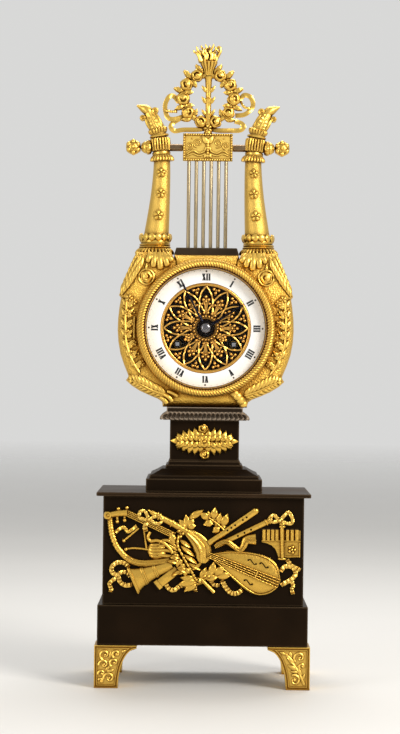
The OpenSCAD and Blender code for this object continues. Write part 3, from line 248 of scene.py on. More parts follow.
def tube(keys: Line, radius: float | Array, count: int = 24, sides: int = 10) -> Shell:
    """A round bar along a smooth curve through keys, with its ends drawn in.

    Args:
        keys: Places to pass through.
        radius: Radius, for each ring or for all.
        count: Number of rings.
        sides: Points round a ring.

    Returns:
        The closed tube.
    """
    s = np.linspace(0, 1, count)
    ends = np.minimum(1, np.minimum(s, 1 - s) * 14 + 0.35)
    r = np.broadcast_to(radius, count) * ends
    return sweep(smooth_path(keys, count), r, r, sides)


def turned(profile: Line, at: Spot, axis: Array = UP, around: int = 48, lobes: int = 0,
           lobe_depth: float | Spot = 0.0) -> Shell:
    """Turns a profile of [radius, height] round an axis.

    The radius is r (1 + lobe_depth (|cos(lobes a / 2)| - 0.6)), which makes flutes where lobes is set.

    Args:
        profile: Radius and height, from one end to the other.
        at: Place of height zero.
        axis: Direction of the height.
        around: Points round the axis.
        lobes: Number of lobes round the axis.
        lobe_depth: Share of the radius that the lobes take, for each row or for all.

    Returns:
        The closed shell.
    """
    p = np.asarray(profile, float)
    k = unit(np.asarray(axis, float))
    e1 = unit(np.cross(k, FRONT if abs(k[1]) < 0.9 else UP))
    e2 = np.cross(k, e1)
    a = angles(around)[None, :, None]
    r = np.maximum(p[:, 0], 1e-3)[:, None, None]
    if lobes:
        depth = np.broadcast_to(lobe_depth, len(p))[:, None, None]
        r = r * (1 + depth * (np.abs(np.cos(lobes * a / 2)) - 0.6))
    height = p[:, 1][:, None, None]
    return grid_shell(np.asarray(at, float) + r * (np.cos(a) * e1 + np.sin(a) * e2) + height * k)


def domed(radius: float, height: float, rows: int, trim: float) -> Array:
    """Profile of an egg: radius sin(t) at -height cos(t), with t kept trim radians from both poles."""
    t = np.linspace(trim, np.pi - trim, rows)
    return np.stack([radius * np.sin(t), -height * np.cos(t)], -1)


def ball(at: Spot, radius: float, rows: int = 7, around: int = 10) -> Shell:
    """A small round ball."""
    return turned(domed(radius, radius, rows, 0.12), at, FRONT, around)


def leaf(base: Spot, tip: Spot, width: float, lift: float = 1.0, curl: float = 0.0, bend: float = 0.0,
         thick: float = 0.9, full: float = 0.7, teeth: int = 0, barbs: int = 0, face: Array = FRONT,
         rings: int = 22, sides: int = 14) -> Shell:
    """A leaf in relief: a flat ellipse carried from base to tip.

    Its half width is sin(pi s^full)^0.8, notched by teeth along the edge. The path rises by lift in the
    middle and by curl at the tip, and bows sideways by bend. The front has a groove along the rib, and
    slanting ridges where barbs is set.

    Args:
        base: Place of the stalk.
        tip: Place of the tip.
        width: Largest width.
        lift: Rise of the middle towards face.
        curl: Rise of the tip towards face.
        bend: Sideways bow of the middle.
        thick: Half thickness.
        full: Below one the widest place is near the base, above one it is near the tip.
        teeth: Number of notches along each edge.
        barbs: Number of slanting ridges on the front.
        face: Direction that the leaf faces.
        rings: Rings along the leaf.
        sides: Points round a ring.

    Returns:
        The closed leaf.
    """
    base, tip = np.asarray(base, float), np.asarray(tip, float)
    s = np.linspace(0, 1, rings)
    d = unit(tip - base)
    out = unit(face - (face @ d) * d)
    side = np.cross(d, out)
    bow = np.sin(np.pi * s)
    path = (base + s[:, None] * (tip - base) + (bend * bow)[:, None] * side
            + (lift * bow + curl * s ** 2)[:, None] * out)
    shape = np.sin(np.pi * np.clip(s, 0.01, 0.99) ** full) ** 0.8
    if teeth:
        shape = shape * (1 - 0.28 * np.abs(np.sin(np.pi * teeth * s)) ** 0.7)

    def front(share: Array, a: Array) -> Array:
        """Rib groove and barbs on the front half of a ring."""
        c, up = np.cos(a), np.clip(np.sin(a), 0, 1)
        factor = 1 - 0.45 * np.exp(-(c / 0.22) ** 2) * up
        if barbs:
            factor = factor * (1 + 0.28 * up * np.cos(TAU * (barbs * share - 1.4 * np.abs(c))))
        return factor

    return sweep(path, width / 2 * shape + 0.03, thick * (0.35 + 0.65 * shape), sides, front, face)


def facing(at: Spot, radius: Array, height: Array, face: Array = FRONT) -> Shell:
    """A round relief that faces a direction, from a polar grid of radius and height.

    Args:
        at: Middle of the relief's back.
        radius: Radius by [ring, angle], from the middle out.
        height: Height towards face by [ring, angle].
        face: Direction that it faces.

    Returns:
        The closed relief, with a flat back.
    """
    k = unit(np.asarray(face, float))
    e1 = unit(np.cross(k, UP))
    e2 = np.cross(k, e1)
    r = np.concatenate([radius, radius[-1:], radius[:1]])[..., None]
    h = np.concatenate([height, 0 * height[-1:], 0 * height[:1]])[..., None]
    a = np.broadcast_to(angles(radius.shape[1])[None, :], r.shape[:2])[..., None]
    return grid_shell(np.asarray(at, float) + r * (np.cos(a) * e1 + np.sin(a) * e2) + h * k)


def rose(at: Spot, radius: float, height: float, turn: float = 0.0, face: Array = FRONT) -> Shell:
    """A rose: a dome with a round bud in the middle and a crescent groove beside it.

    Each groove is a bell curve across a ring, deep on one side only, and the rim has five lobes.

    Args:
        at: Middle of the back.
        radius: Outer radius.
        height: Height of the dome.
        turn: Turn of the petals, in radians.
        face: Direction that the rose faces.

    Returns:
        The closed rose.
    """
    q = np.linspace(0.03, 1, 28)[:, None]
    a = angles(40)[None, :]
    groove = np.exp(-((q - 0.4) / 0.12) ** 2) * np.clip(0.3 + 0.8 * np.cos(a - turn), 0, 1)
    second = np.exp(-((q - 0.72) / 0.08) ** 2) * np.clip(np.cos(a - turn - 2.6), 0, 1)
    bud = np.sqrt(np.clip(1 - (q / 0.36) ** 2, 0, 1))
    h = height * (0.12 + 0.78 * np.sqrt(1 - 0.97 * q ** 2) + 0.1 * bud - 0.45 * groove - 0.22 * second)
    return facing(at, radius * q * (1 + 0.07 * q ** 2 * np.cos(5 * (a + turn))), h, face)


def flower(at: Spot, radius: float, height: float, turn: float = 0.0) -> Shell:
    """A flower of five round petals and a raised eye, facing the front.

    The rim is 0.68 + 0.32 |cos(petals a / 2)|^0.7, each petal is domed, and the eye is a small bell curve.

    Args:
        at: Middle of the back.
        radius: Outer radius.
        height: Height of the petals.
        turn: Turn of the flower, in radians.

    Returns:
        The closed flower.
    """
    petals = 5
    q = np.linspace(0.03, 1, 14)[:, None]
    a = angles(8 * petals)[None, :]
    wave = np.abs(np.cos(petals * (a + turn) / 2)) ** 0.7
    swell = (0.4 + 0.6 * wave) * np.sin(np.pi * np.clip(q, 0.15, 1)) * 0.6
    h = height * (0.45 + swell + 0.7 * np.exp(-(q / 0.24) ** 2))
    return facing(at, radius * q * (0.68 + 0.32 * wave), h * np.ones_like(a))


def spiral(at: Spot, start: float, turns: float, radius: float) -> Array:
    """Points [x, z] of a scroll that winds in from radius to its eye.

    Args:
        at: Eye of the scroll.
        start: Angle of the outer end, in degrees.
        turns: Number of turns, negative to wind clockwise.
        radius: Outer radius.

    Returns:
        The points.
    """
    s = np.linspace(0, 1, 40)
    a = np.radians(start) + TAU * turns * s
    r = radius * (1 - 0.88 * s)
    return np.asarray(at, float) + np.stack([r * np.cos(a), r * np.sin(a)], -1)


def prism(outline: Line, y0: float, y1: float) -> Shell:
    """A flat plate: an outline of [x, z] points between the depths y0 and y1."""
    return grid_shell(np.stack([on_plane(outline, y0), on_plane(outline, y1)]))


def squared(profile: Line, flat: float) -> Shell:
    """Carries a moulding of [half width, height] round a rectangle that is less deep than wide.

    Args:
        profile: Half width and height, from the bottom up.
        flat: Width less depth.

    Returns:
        The closed stack.
    """
    p = np.asarray(profile, float)
    signs = np.array([[-1, -1], [1, -1], [1, 1], [-1, 1]], float)
    x = p[:, :1] * signs[None, :, 0]
    y = (p[:, :1] - flat / 2) * signs[None, :, 1]
    return grid_shell(np.stack([x, y, np.broadcast_to(p[:, 1:], x.shape)], -1))


class Value:
    """A number in a shader: a socket whose arithmetic adds Math nodes."""

    def __init__(self, graph: "Graph", socket: bpy.types.NodeSocket) -> None:
        """Wraps an output socket of graph."""
        self.graph = graph
        self.socket = socket

    def __add__(self, other: "Value | float") -> "Value":
        """Sum."""
        return self.graph.math("ADD", self, other)

    __radd__ = __add__

    def __sub__(self, other: "Value | float") -> "Value":
        """Difference."""
        return self.graph.math("SUBTRACT", self, other)

    def __rsub__(self, other: float) -> "Value":
        """Difference from a plain number."""
        return self.graph.math("SUBTRACT", other, self)

    def __mul__(self, other: "Value | float") -> "Value":
        """Product."""
        return self.graph.math("MULTIPLY", self, other)

    __rmul__ = __mul__

    def clamped(self) -> "Value":
        """The value held between nought and one."""
        return self.graph.value("ShaderNodeClamp", {}, "Result", Value=self)


class Graph:
    """The nodes of a material or a world, made from Python expressions."""

    def __init__(self, tree: bpy.types.NodeTree) -> None:
        """Takes the tree that the nodes go into."""
        self.tree = tree

    def node(self, kind: str, settings: dict[str, object], **values: object) -> bpy.types.Node:
        """Adds one node.

        Args:
            kind: Blender's name of the node type.
            settings: Properties of the node, set first.
            values: Values or links of its sockets; an underscore stands for a space, and In0 is socket 0.

        Returns:
            The node.
        """
        made = self.tree.nodes.new(kind)
        for key, value in settings.items():
            setattr(made, key, value)
        for key, value in values.items():
            number = key.removeprefix("In")
            self.feed(made.inputs[int(number) if number.isdigit() else key.replace("_", " ")], value)
        return made

    def value(self, kind: str, settings: dict[str, object], output: int | str, **values: object) -> Value:
        """Adds one node as node() does, and returns the named output of it."""
        return Value(self, self.node(kind, settings, **values).outputs[output])

    def feed(self, socket: bpy.types.NodeSocket, value: object) -> None:
        """Links or sets one socket.

        Args:
            socket: The input.
            value: A Value, a socket or a plain number or colour.
        """
        if isinstance(value, Value):
            value = value.socket
        if isinstance(value, bpy.types.NodeSocket):
            self.tree.links.new(value, socket)
        else:
            socket.default_value = value

    def math(self, operation: str, a: object, b: object) -> Value:
        """Adds one Math node on two values, sockets or numbers, and returns its value."""
        return self.value("ShaderNodeMath", {"operation": operation}, 0, In0=a, In1=b)


class Paint(Graph):
    """A material's nodes round a Principled shader, with Object coordinates."""

    def __init__(self, name: str) -> None:
        """Starts the material."""
        self.material = bpy.data.materials.new(name)
        self.material.use_nodes = True
        super().__init__(self.material.node_tree)
        self.shader = self.tree.nodes["Principled BSDF"]
        self.place = self.node("ShaderNodeTexCoord", {}).outputs["Object"]

    def noise(self, scale: float, detail: float, stretch: Triple = (1, 1, 1)) -> Value:
        """Noise over the object.

        Args:
            scale: Cells per metre.
            detail: Octaves.
            stretch: Scale of each axis before the noise.

        Returns:
            The noise, nought to one.
        """
        where = self.node("ShaderNodeMapping", {}, Vector=self.place, Scale=stretch).outputs[0]
        return self.value("ShaderNodeTexNoise", {}, "Fac", Vector=where, Scale=scale, Detail=detail)

    def dots(self, scale: float) -> Value:
        """Distance to the nearest of scattered points, for a punched ground."""
        return self.value("ShaderNodeTexVoronoi", {}, "Distance", Vector=self.place, Scale=scale)

    def shaded(self, reach: float, inside: bool = False) -> Value:
        """Ambient occlusion: one in crevices and nought in the open, or one on outer edges.

        Args:
            reach: Distance in metres that is looked at.
            inside: Whether to look into the solid, which finds its edges.

        Returns:
            The share that is shut off.
        """
        settings = {"samples": 8, "inside": inside}
        return 1 - self.value("ShaderNodeAmbientOcclusion", settings, "AO", Distance=reach)

    def mix(self, factor: Value, a: object, b: object) -> bpy.types.NodeSocket:
        """Mixes two colours.

        Args:
            factor: Share of the second colour.
            a: First colour.
            b: Second colour.

        Returns:
            The mixed colour's socket.
        """
        return self.node("ShaderNodeMix", {"data_type": "RGBA"}, In0=factor, In6=a, In7=b).outputs[2]

    def bump(self, height: Value, strength: float, distance: float) -> None:
        """Feeds the shader's normal from a height.

        Args:
            height: The height.
            strength: Share of the bump.
            distance: Height in metres that a value of one stands for.
        """
        made = self.node("ShaderNodeBump", {}, Height=height, Strength=strength, Distance=distance)
        self.feed(self.shader.inputs["Normal"], made.outputs[0])

    def surface(self, **values: object) -> Material:
        """Sets the shader's own sockets and returns the material."""
        for key, value in values.items():
            self.feed(self.shader.inputs[key.replace("_", " ")], value)
        return self.material


def rgba(r: float, g: float, b: float) -> tuple[float, float, float, float]:
    """A linear colour from its sRGB parts, nought to 255."""
    c = np.array([r, g, b]) / 255
    linear = np.where(c <= 0.04045, c / 12.92, ((c + 0.055) / 1.055) ** 2.4)
    return (*map(float, linear), 1.0)


@dataclass(frozen=True)
class Gilding:
    """Mercury gilding: warm gold with painted shade in its hollows, matt where it is punched and bright where
    burnished.

    Attributes:
        name: Name of the material.
        light: Colour of the open gold, in sRGB.
        deep: Colour of the painted shade in the hollows, in sRGB.
        rough: Mean roughness.
        punch: Height of the punched ground in metres.
        cells: Punch marks per metre.
        reach: Distance in metres within which the hollows take painted shade.
        chase: Strength of the uneven chasing where there is no punch.
    """

    name: str
    light: Triple = (240, 197, 94)
    deep: Triple = (98, 56, 7)
    rough: float = 0.3
    punch: float = 0.0
    cells: float = 620.0
    reach: float = 0.006
    chase: float = 0.25

    def build(self) -> Material:
        """Makes the material."""
        g = Paint(self.name)
        cloud = g.noise(38, 4)
        fine = g.noise(420, 2)
        # Painted shade: ambient occlusion finds the hollows, and their colour is mixed towards the deep
        # colour.
        painted_shade = (g.shaded(self.reach) * 1.8).clamped()
        gold = g.mix(cloud, rgba(*self.light), rgba(*(0.93 * c for c in self.light)))
        colour = g.mix(painted_shade, gold, rgba(*self.deep))
        rough = (self.rough + (cloud - 0.5) * 0.16 + (fine - 0.5) * 0.12 + painted_shade * 0.15).clamped()
        if self.punch:
            g.bump(g.dots(self.cells), 0.9, self.punch)
        else:
            g.bump(fine, self.chase, 0.0005)
        return g.surface(Base_Color=colour, Metallic=1.0, Roughness=rough)


@dataclass(frozen=True)
class Patina:
    """Dark brown patinated bronze, faintly mottled, with worn warmer patches, and lighter outer edges that
    stand both for worn metal and for painted highlights.

    Attributes:
        name: Name of the material.
        dark: Main colour, in sRGB.
        warm: Colour of the worn patches, in sRGB.
        worn_edge_highlight: Colour of the outer edges, worn metal and painted highlight at once, in sRGB.
        rough: Mean roughness.
        worn_edge_highlight_share: Share of that edge colour, worn metal and painted highlight, on the edges.
    """

    name: str
    dark: Triple = (21, 14, 8)
    warm: Triple = (40, 27, 16)
    worn_edge_highlight: Triple = (124, 102, 76)
    rough: float = 0.4
    worn_edge_highlight_share: float = 0.6

    def build(self) -> Material:
        """Makes the material."""
        g = Paint(self.name)
        cloud = g.noise(16, 5)
        worn = ((cloud - 0.46) * 3.2).clamped() * 0.55
        colour = g.mix(worn, rgba(*self.dark), rgba(*self.warm))
        # Painted highlight as well as worn metal: the outer edges, found by occlusion inside the solid, are
        # mixed towards the lighter edge colour.
        edge = ((g.shaded(0.0014, inside=True) - 0.08) * 2.6).clamped()
        colour = g.mix(edge * self.worn_edge_highlight_share, colour, rgba(*self.worn_edge_highlight))
        g.bump(g.noise(330, 3), 0.22, 0.0002)
        rough = (self.rough + (cloud - 0.5) * 0.2).clamped()
        return g.surface(Base_Color=colour, Metallic=0.1, Roughness=rough, Specular_IOR_Level=0.07,
                         Specular_Tint=rgba(255, 214, 170))


@dataclass(frozen=True)
class Metal:
    """Plain worked metal with a drawn or turned grain.

    Attributes:
        name: Name of the material.
        colour: Main colour, in sRGB.
        stain: Colour of the tarnish, in sRGB.
        rough: Mean roughness.
        grain: Stretch of the grain along each axis.
    """

    name: str
    colour: Triple
    stain: Triple
    rough: float
    grain: Triple = (1, 1, 1)

    def build(self) -> Material:
        """Makes the material."""
        g = Paint(self.name)
        streak = g.noise(300, 3, self.grain)
        cloud = g.noise(45, 4)
        tarnish = ((cloud - 0.4) * 1.8).clamped() * 0.5 + streak * 0.25
        colour = g.mix(tarnish.clamped(), rgba(*self.colour), rgba(*self.stain))
        g.bump(streak, 0.2, 0.0001)
        rough = (self.rough + (streak - 0.5) * 0.25).clamped()
        return g.surface(Base_Color=colour, Metallic=1.0, Roughness=rough)


@dataclass(frozen=True)
class Glaze:
    """A glossy non-metal, such as enamel or painted figures, with a faint mottle.

    Attributes:
        name: Name of the material.
        colour: Main colour, in sRGB.
        tint: Colour of the mottle, in sRGB.
        rough: Roughness.
    """

    name: str
    colour: Triple
    tint: Triple
    rough: float

    def build(self) -> Material:
        """Makes the material."""
        g = Paint(self.name)
        cloud = g.noise(70, 4)
        colour = g.mix((cloud - 0.2).clamped(), rgba(*self.colour), rgba(*self.tint))
        g.bump(g.noise(160, 2), 0.05, 0.0002)
        rough = (self.rough + (cloud - 0.5) * 0.1).clamped()
        return g.surface(Base_Color=colour, Roughness=rough, Coat_Weight=0.3)


@dataclass(frozen=True)
class Pane:
    """Clear flat glass with faint dust.

    Attributes:
        name: Name of the material.
        alpha: How much of what is behind it the pane hides.
    """

    name: str
    alpha: float = 0.012

    def build(self) -> Material:
        """Makes the material."""
        g = Paint(self.name)
        dust = g.noise(60, 4)
        g.material.surface_render_method = "BLENDED"
        alpha = (self.alpha + (dust - 0.5) * 0.01).clamped()
        return g.surface(Base_Color=rgba(96, 100, 102), Roughness=0.04 + dust * 0.05, Alpha=alpha,
                         Specular_IOR_Level=0.1)


class Finishes:
    """The clock's materials, each made once."""

    def __init__(self) -> None:
        """Makes every material."""
        self.matt = Gilding("gilt_matt", (234, 188, 84), (136, 88, 24), 0.44, punch=0.0006, cells=720).build()
        self.bright = Gilding("gilt_bright", (242, 198, 96), rough=0.24).build()
        self.leafy = Gilding("gilt_chased").build()
        self.dull = Gilding("gilt_dull", (230, 183, 80), (92, 50, 6), 0.24, chase=0.6).build()
        self.relief = Gilding("gilt_relief", deep=(132, 84, 20), rough=0.34, reach=0.004).build()
        self.fret = Gilding("gilt_fret", (228, 174, 84), (80, 42, 6), 0.26, reach=0.003).build()
        self.satin = Gilding("gilt_satin", (252, 214, 108), (138, 90, 24), 0.42).build()
        self.rope = Gilding("gilt_rope", (232, 186, 86), rough=0.36, reach=0.0022).build()
        self.matt_fine = Gilding("gilt_matt_fine", (226, 186, 92), rough=0.42, punch=0.0002,
                                 cells=1300).build()
        self.dark = Patina("bronze_dark").build()
        # The gadroon ribs take a pale edge colour at a high share: painted highlights on their crests,
        # standing also for worn metal.
        self.ribs = Patina("bronze_ribs", (30, 23, 17), (52, 43, 34), (158, 142, 124), 0.34, 0.9).build()
        self.slab = Patina("bronze_slab", (34, 24, 15), (58, 40, 26)).build()
        self.bridge = Patina("bronze_bridge", (40, 34, 27), (84, 73, 58), rough=0.45, worn_edge_highlight_share=0.4).build()
        # Near-black finish painted as the shade inside holes and cavities: the winding cups, the trophy's
        # holes and the dial plate behind the pierced centre.
        self.well = Patina("painted_shade_black", (10, 7, 4), (20, 14, 8), rough=0.7, worn_edge_highlight_share=0.0).build()
        self.string = Metal("string_wire", (166, 150, 118), (96, 84, 64), 0.3, (1, 1, 0.06)).build()
        self.rod = Metal("rod_bronze", (132, 110, 84), (80, 64, 46), 0.34, (0.06, 1, 1)).build()
        self.brass = Metal("clock_brass", (214, 176, 100), (160, 122, 58), 0.3).build()
        self.steel = Metal("clock_steel", (170, 172, 176), (110, 110, 112), 0.28).build()
        # The arbors are painted near-black as the shade inside the winding holes; the steel squares on their
        # ends stay light.
        self.arbor = Metal("arbor_painted_shade", (42, 41, 43), (24, 23, 25), 0.4).build()
        self.blued = Metal("blued_steel", (26, 26, 36), (16, 14, 18), 0.3).build()
        self.bell = Metal("bell_metal", (196, 176, 124), (150, 128, 80), 0.25).build()
        self.dome = Metal("dark_steel", (122, 120, 122), (66, 64, 66), 0.22).build()
        self.nut = Metal("hand_nut_steel", (24, 22, 22), (12, 11, 11), 0.22).build()
        self.enamel = Glaze("white_enamel", (253, 253, 251), (248, 247, 243), 0.16).build()
        self.ink = Glaze("dial_black", (10, 9, 10), (18, 16, 17), 0.45).build()
        self.glass = Pane("bezel_pane").build()


def make_piece(name: str, shells: Shells, material: Material, slot: Slot = Slot.GILT, body: Body = Body.CASE,
               replaces: Sequence[str] = (), sharp: float = 40.0, bevel: float = 0.0) -> None:
    """Puts shells into one mesh object, dressed and riding on a body.

    Args:
        name: Name of the piece.
        shells: Its surfaces, in millimetres.
        material: Its finish.
        slot: Material slot of the record; not used.
        body: CAD body that it rides on.
        replaces: CAD nodes that it stands for.
        sharp: Edges steeper than this many degrees stay sharp.
        bevel: Width of a rounded edge in millimetres, or nought.
    """
    shell = Shell.join(shells)
    sizes = np.concatenate([np.full(len(rows), rows.shape[1]) for rows in shell.faces])
    loops = np.concatenate([rows.ravel() for rows in shell.faces])
    mesh = bpy.data.meshes.new(name)
    mesh.vertices.add(len(shell.points))
    mesh.vertices.foreach_set("co", (shell.points * MM).astype(np.float32).ravel())
    mesh.loops.add(len(loops))
    mesh.loops.foreach_set("vertex_index", loops.astype(np.int32))
    mesh.polygons.add(len(sizes))
    mesh.polygons.foreach_set("loop_start", (np.cumsum(sizes) - sizes).astype(np.int32))
    mesh.update(calc_edges=True)
    mesh.polygons.foreach_set("use_smooth", np.ones(len(sizes), bool))
    mesh.set_sharp_from_angle(angle=np.radians(sharp))
    mesh.validate()
    mesh.materials.append(material)
    made = bpy.data.objects.new(name, mesh)
    bpy.context.scene.collection.objects.link(made)
    if bevel:
        edge = made.modifiers.new("edge", "BEVEL")
        edge.width = bevel * MM
        edge.segments = 2
        edge.limit_method = "ANGLE"
    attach(made, body.value)
    if replaces:
        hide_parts(*replaces)
    log.info("%s: %d faces", name, len(sizes))


def dress(node: str, material: Material) -> None:
    """Gives a CAD node a finish.

    Args:
        node: Name of the node.
        material: The finish.
    """
    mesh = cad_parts[node].data
    mesh.materials.clear()
    mesh.materials.append(material)
    log.info("%s: dressed", node)


@dataclass
class Base:
    """Dark stepped base: lower block, die and top slab, each as half width, half depth, bottom and top."""

    block: tuple[float, ...] = (87.2, 55.0, 35.3, 68.6)
    die: tuple[float, ...] = (83.3, 51.0, 68.6, 158.6)
    slab: tuple[float, ...] = (88.8, 56.7, 158.6, 161.8)

    def build(self, finishes: Finishes) -> None:
        """Makes the three courses with rounded edges."""
        for name, (half, deep, low, high), material in (
                ("base_block", self.block, finishes.dark), ("base_die", self.die, finishes.dark),
                ("base_slab", self.slab, finishes.slab)):
            shell = squared([(half, low), (half, high)], 2 * (half - deep))
            make_piece(f"{name}_shown", [shell], material, Slot.DARK, replaces=[name], bevel=0.7)


@dataclass
class Pedestal:
    """Moulded foot, die and gadrooned cap under the lyre, and the leaf spray on the die.

    Mouldings are half widths and heights; the pedestal is less deep than wide by flat.
    """

    flat: float = 10.2
    foot: Line = ((48.4, 161.8), (48.4, 172.9), (45.6, 172.9), (45.6, 175.4), (42.2, 176.9), (38.4, 179.0),
                  (35.4, 180.9), (32.3, 180.9), (32.3, 184.0), (30.2, 184.0), (30.2, 187.2))
    die: Line = ((29.1, 187.2), (29.1, 221.6))
    cap: Line = ((35.2, 221.6), (32.0, 227.7), (32.0, 232.3))
    ribs: int = 9
    rib_foot: float = 36.4
    rib_head: float = 32.6
    spray_middle: Triple = (0, -24.8, 203.6)

    def build(self, finishes: Finishes) -> None:
        """Makes the courses, the gadroons and the mount."""
        make_piece("pedestal_foot_shown", [squared(self.foot, self.flat)], finishes.dark, Slot.DARK,
                   replaces=["pedestal_foot"], sharp=25, bevel=0.5)
        make_piece("pedestal_die_shown", [squared(self.die, self.flat)], finishes.dark, Slot.DARK,
                   replaces=["pedestal_die"], bevel=0.5)
        make_piece("pedestal_cap_shown", [squared(self.cap, self.flat), *self.gadroons()], finishes.ribs,
                   Slot.DARK, replaces=["pedestal_cap"], sharp=50)
        make_piece("pedestal_spray", self.spray(), finishes.dull, replaces=["pedestal_mount"])

    def gadroons(self) -> Shells:
        """Round ribs on all four faces, which lean outwards from the middle of each face."""
        for face in range(4):
            turn = np.radians(90 * face)
            rotate = np.array([[np.cos(turn), -np.sin(turn), 0], [np.sin(turn), np.cos(turn), 0], [0, 0, 1]])
            spread, back = (0, -self.flat / 2) if face % 2 == 0 else (-self.flat / 2, 0)
            foot, head = self.rib_foot + back, self.rib_head + back
            for share in np.arange(-self.ribs, self.ribs + 1) / (self.ribs + 0.2):
                low, high = share * (self.rib_foot + spread), share * (self.rib_head + spread)
                path = [(low, -foot, 222.4), (0.97 * low, 0.2 - foot, 224.0), (high, -0.4 - head, 226.4),
                        (0.98 * high, 1.0 - head, 227.6)]
                yield sweep(smooth_path(path, 8) @ rotate.T, 1.75, 1.2, 8, face=rotate @ FRONT)

    def spray(self) -> Shells:
        """Leaf spray: steep leaf pairs and a tip leaf on each side, petals in the middle and two buds."""
        middle = np.array(self.spray_middle)
        pairs = ((1.0, 3.4, 10.4), (4.4, 8.4, 11.6), (8.2, 13.2, 10.8), (12.2, 18.0, 9.2), (16.2, 22.6, 7.0))
        for side in SIDES:
            yield leaf(middle + (side * 18.0, 0, 0), middle + (side * 28.6, 0.2, 0.4), 6.2, 1.2, thick=1.2)
            for k, (root, tip, rise) in enumerate(pairs):
                for lean in SIDES:
                    start = middle + (side * root, -0.3 * k, -0.6 * lean)
                    end = middle + (side * tip, 0.2, lean * rise)
                    yield leaf(start, end, 5.6, 1.5, 0.5, side * lean * 0.7, 1.3, 0.95, rings=26)
                    start = middle + (side * (root + 1.0), -1.4, -0.4 * lean)
                    end = middle + (side * (tip + 1.4), -1.0, lean * 0.56 * rise)
                    yield leaf(start, end, 4.2, 1.3, 0.4, thick=1.1, full=0.95)
        for a in TAU * (np.arange(6) + 0.5) / 6:
            end = middle + (6.4 * np.cos(a), -1.4, 6.4 * np.sin(a))
            yield leaf(middle + (0, -2.2, 0), end, 4.6, 1.0, thick=1.1, full=1.1)
        yield ball(middle + (0, -3.2, 0), 1.8)
        yield rose(middle + (-1.4, -0.8, 11.0), 4.3, 3.4, turn=0.6)
        yield rose(middle + (0.4, -0.8, -11.2), 4.3, 3.4, turn=2.6)


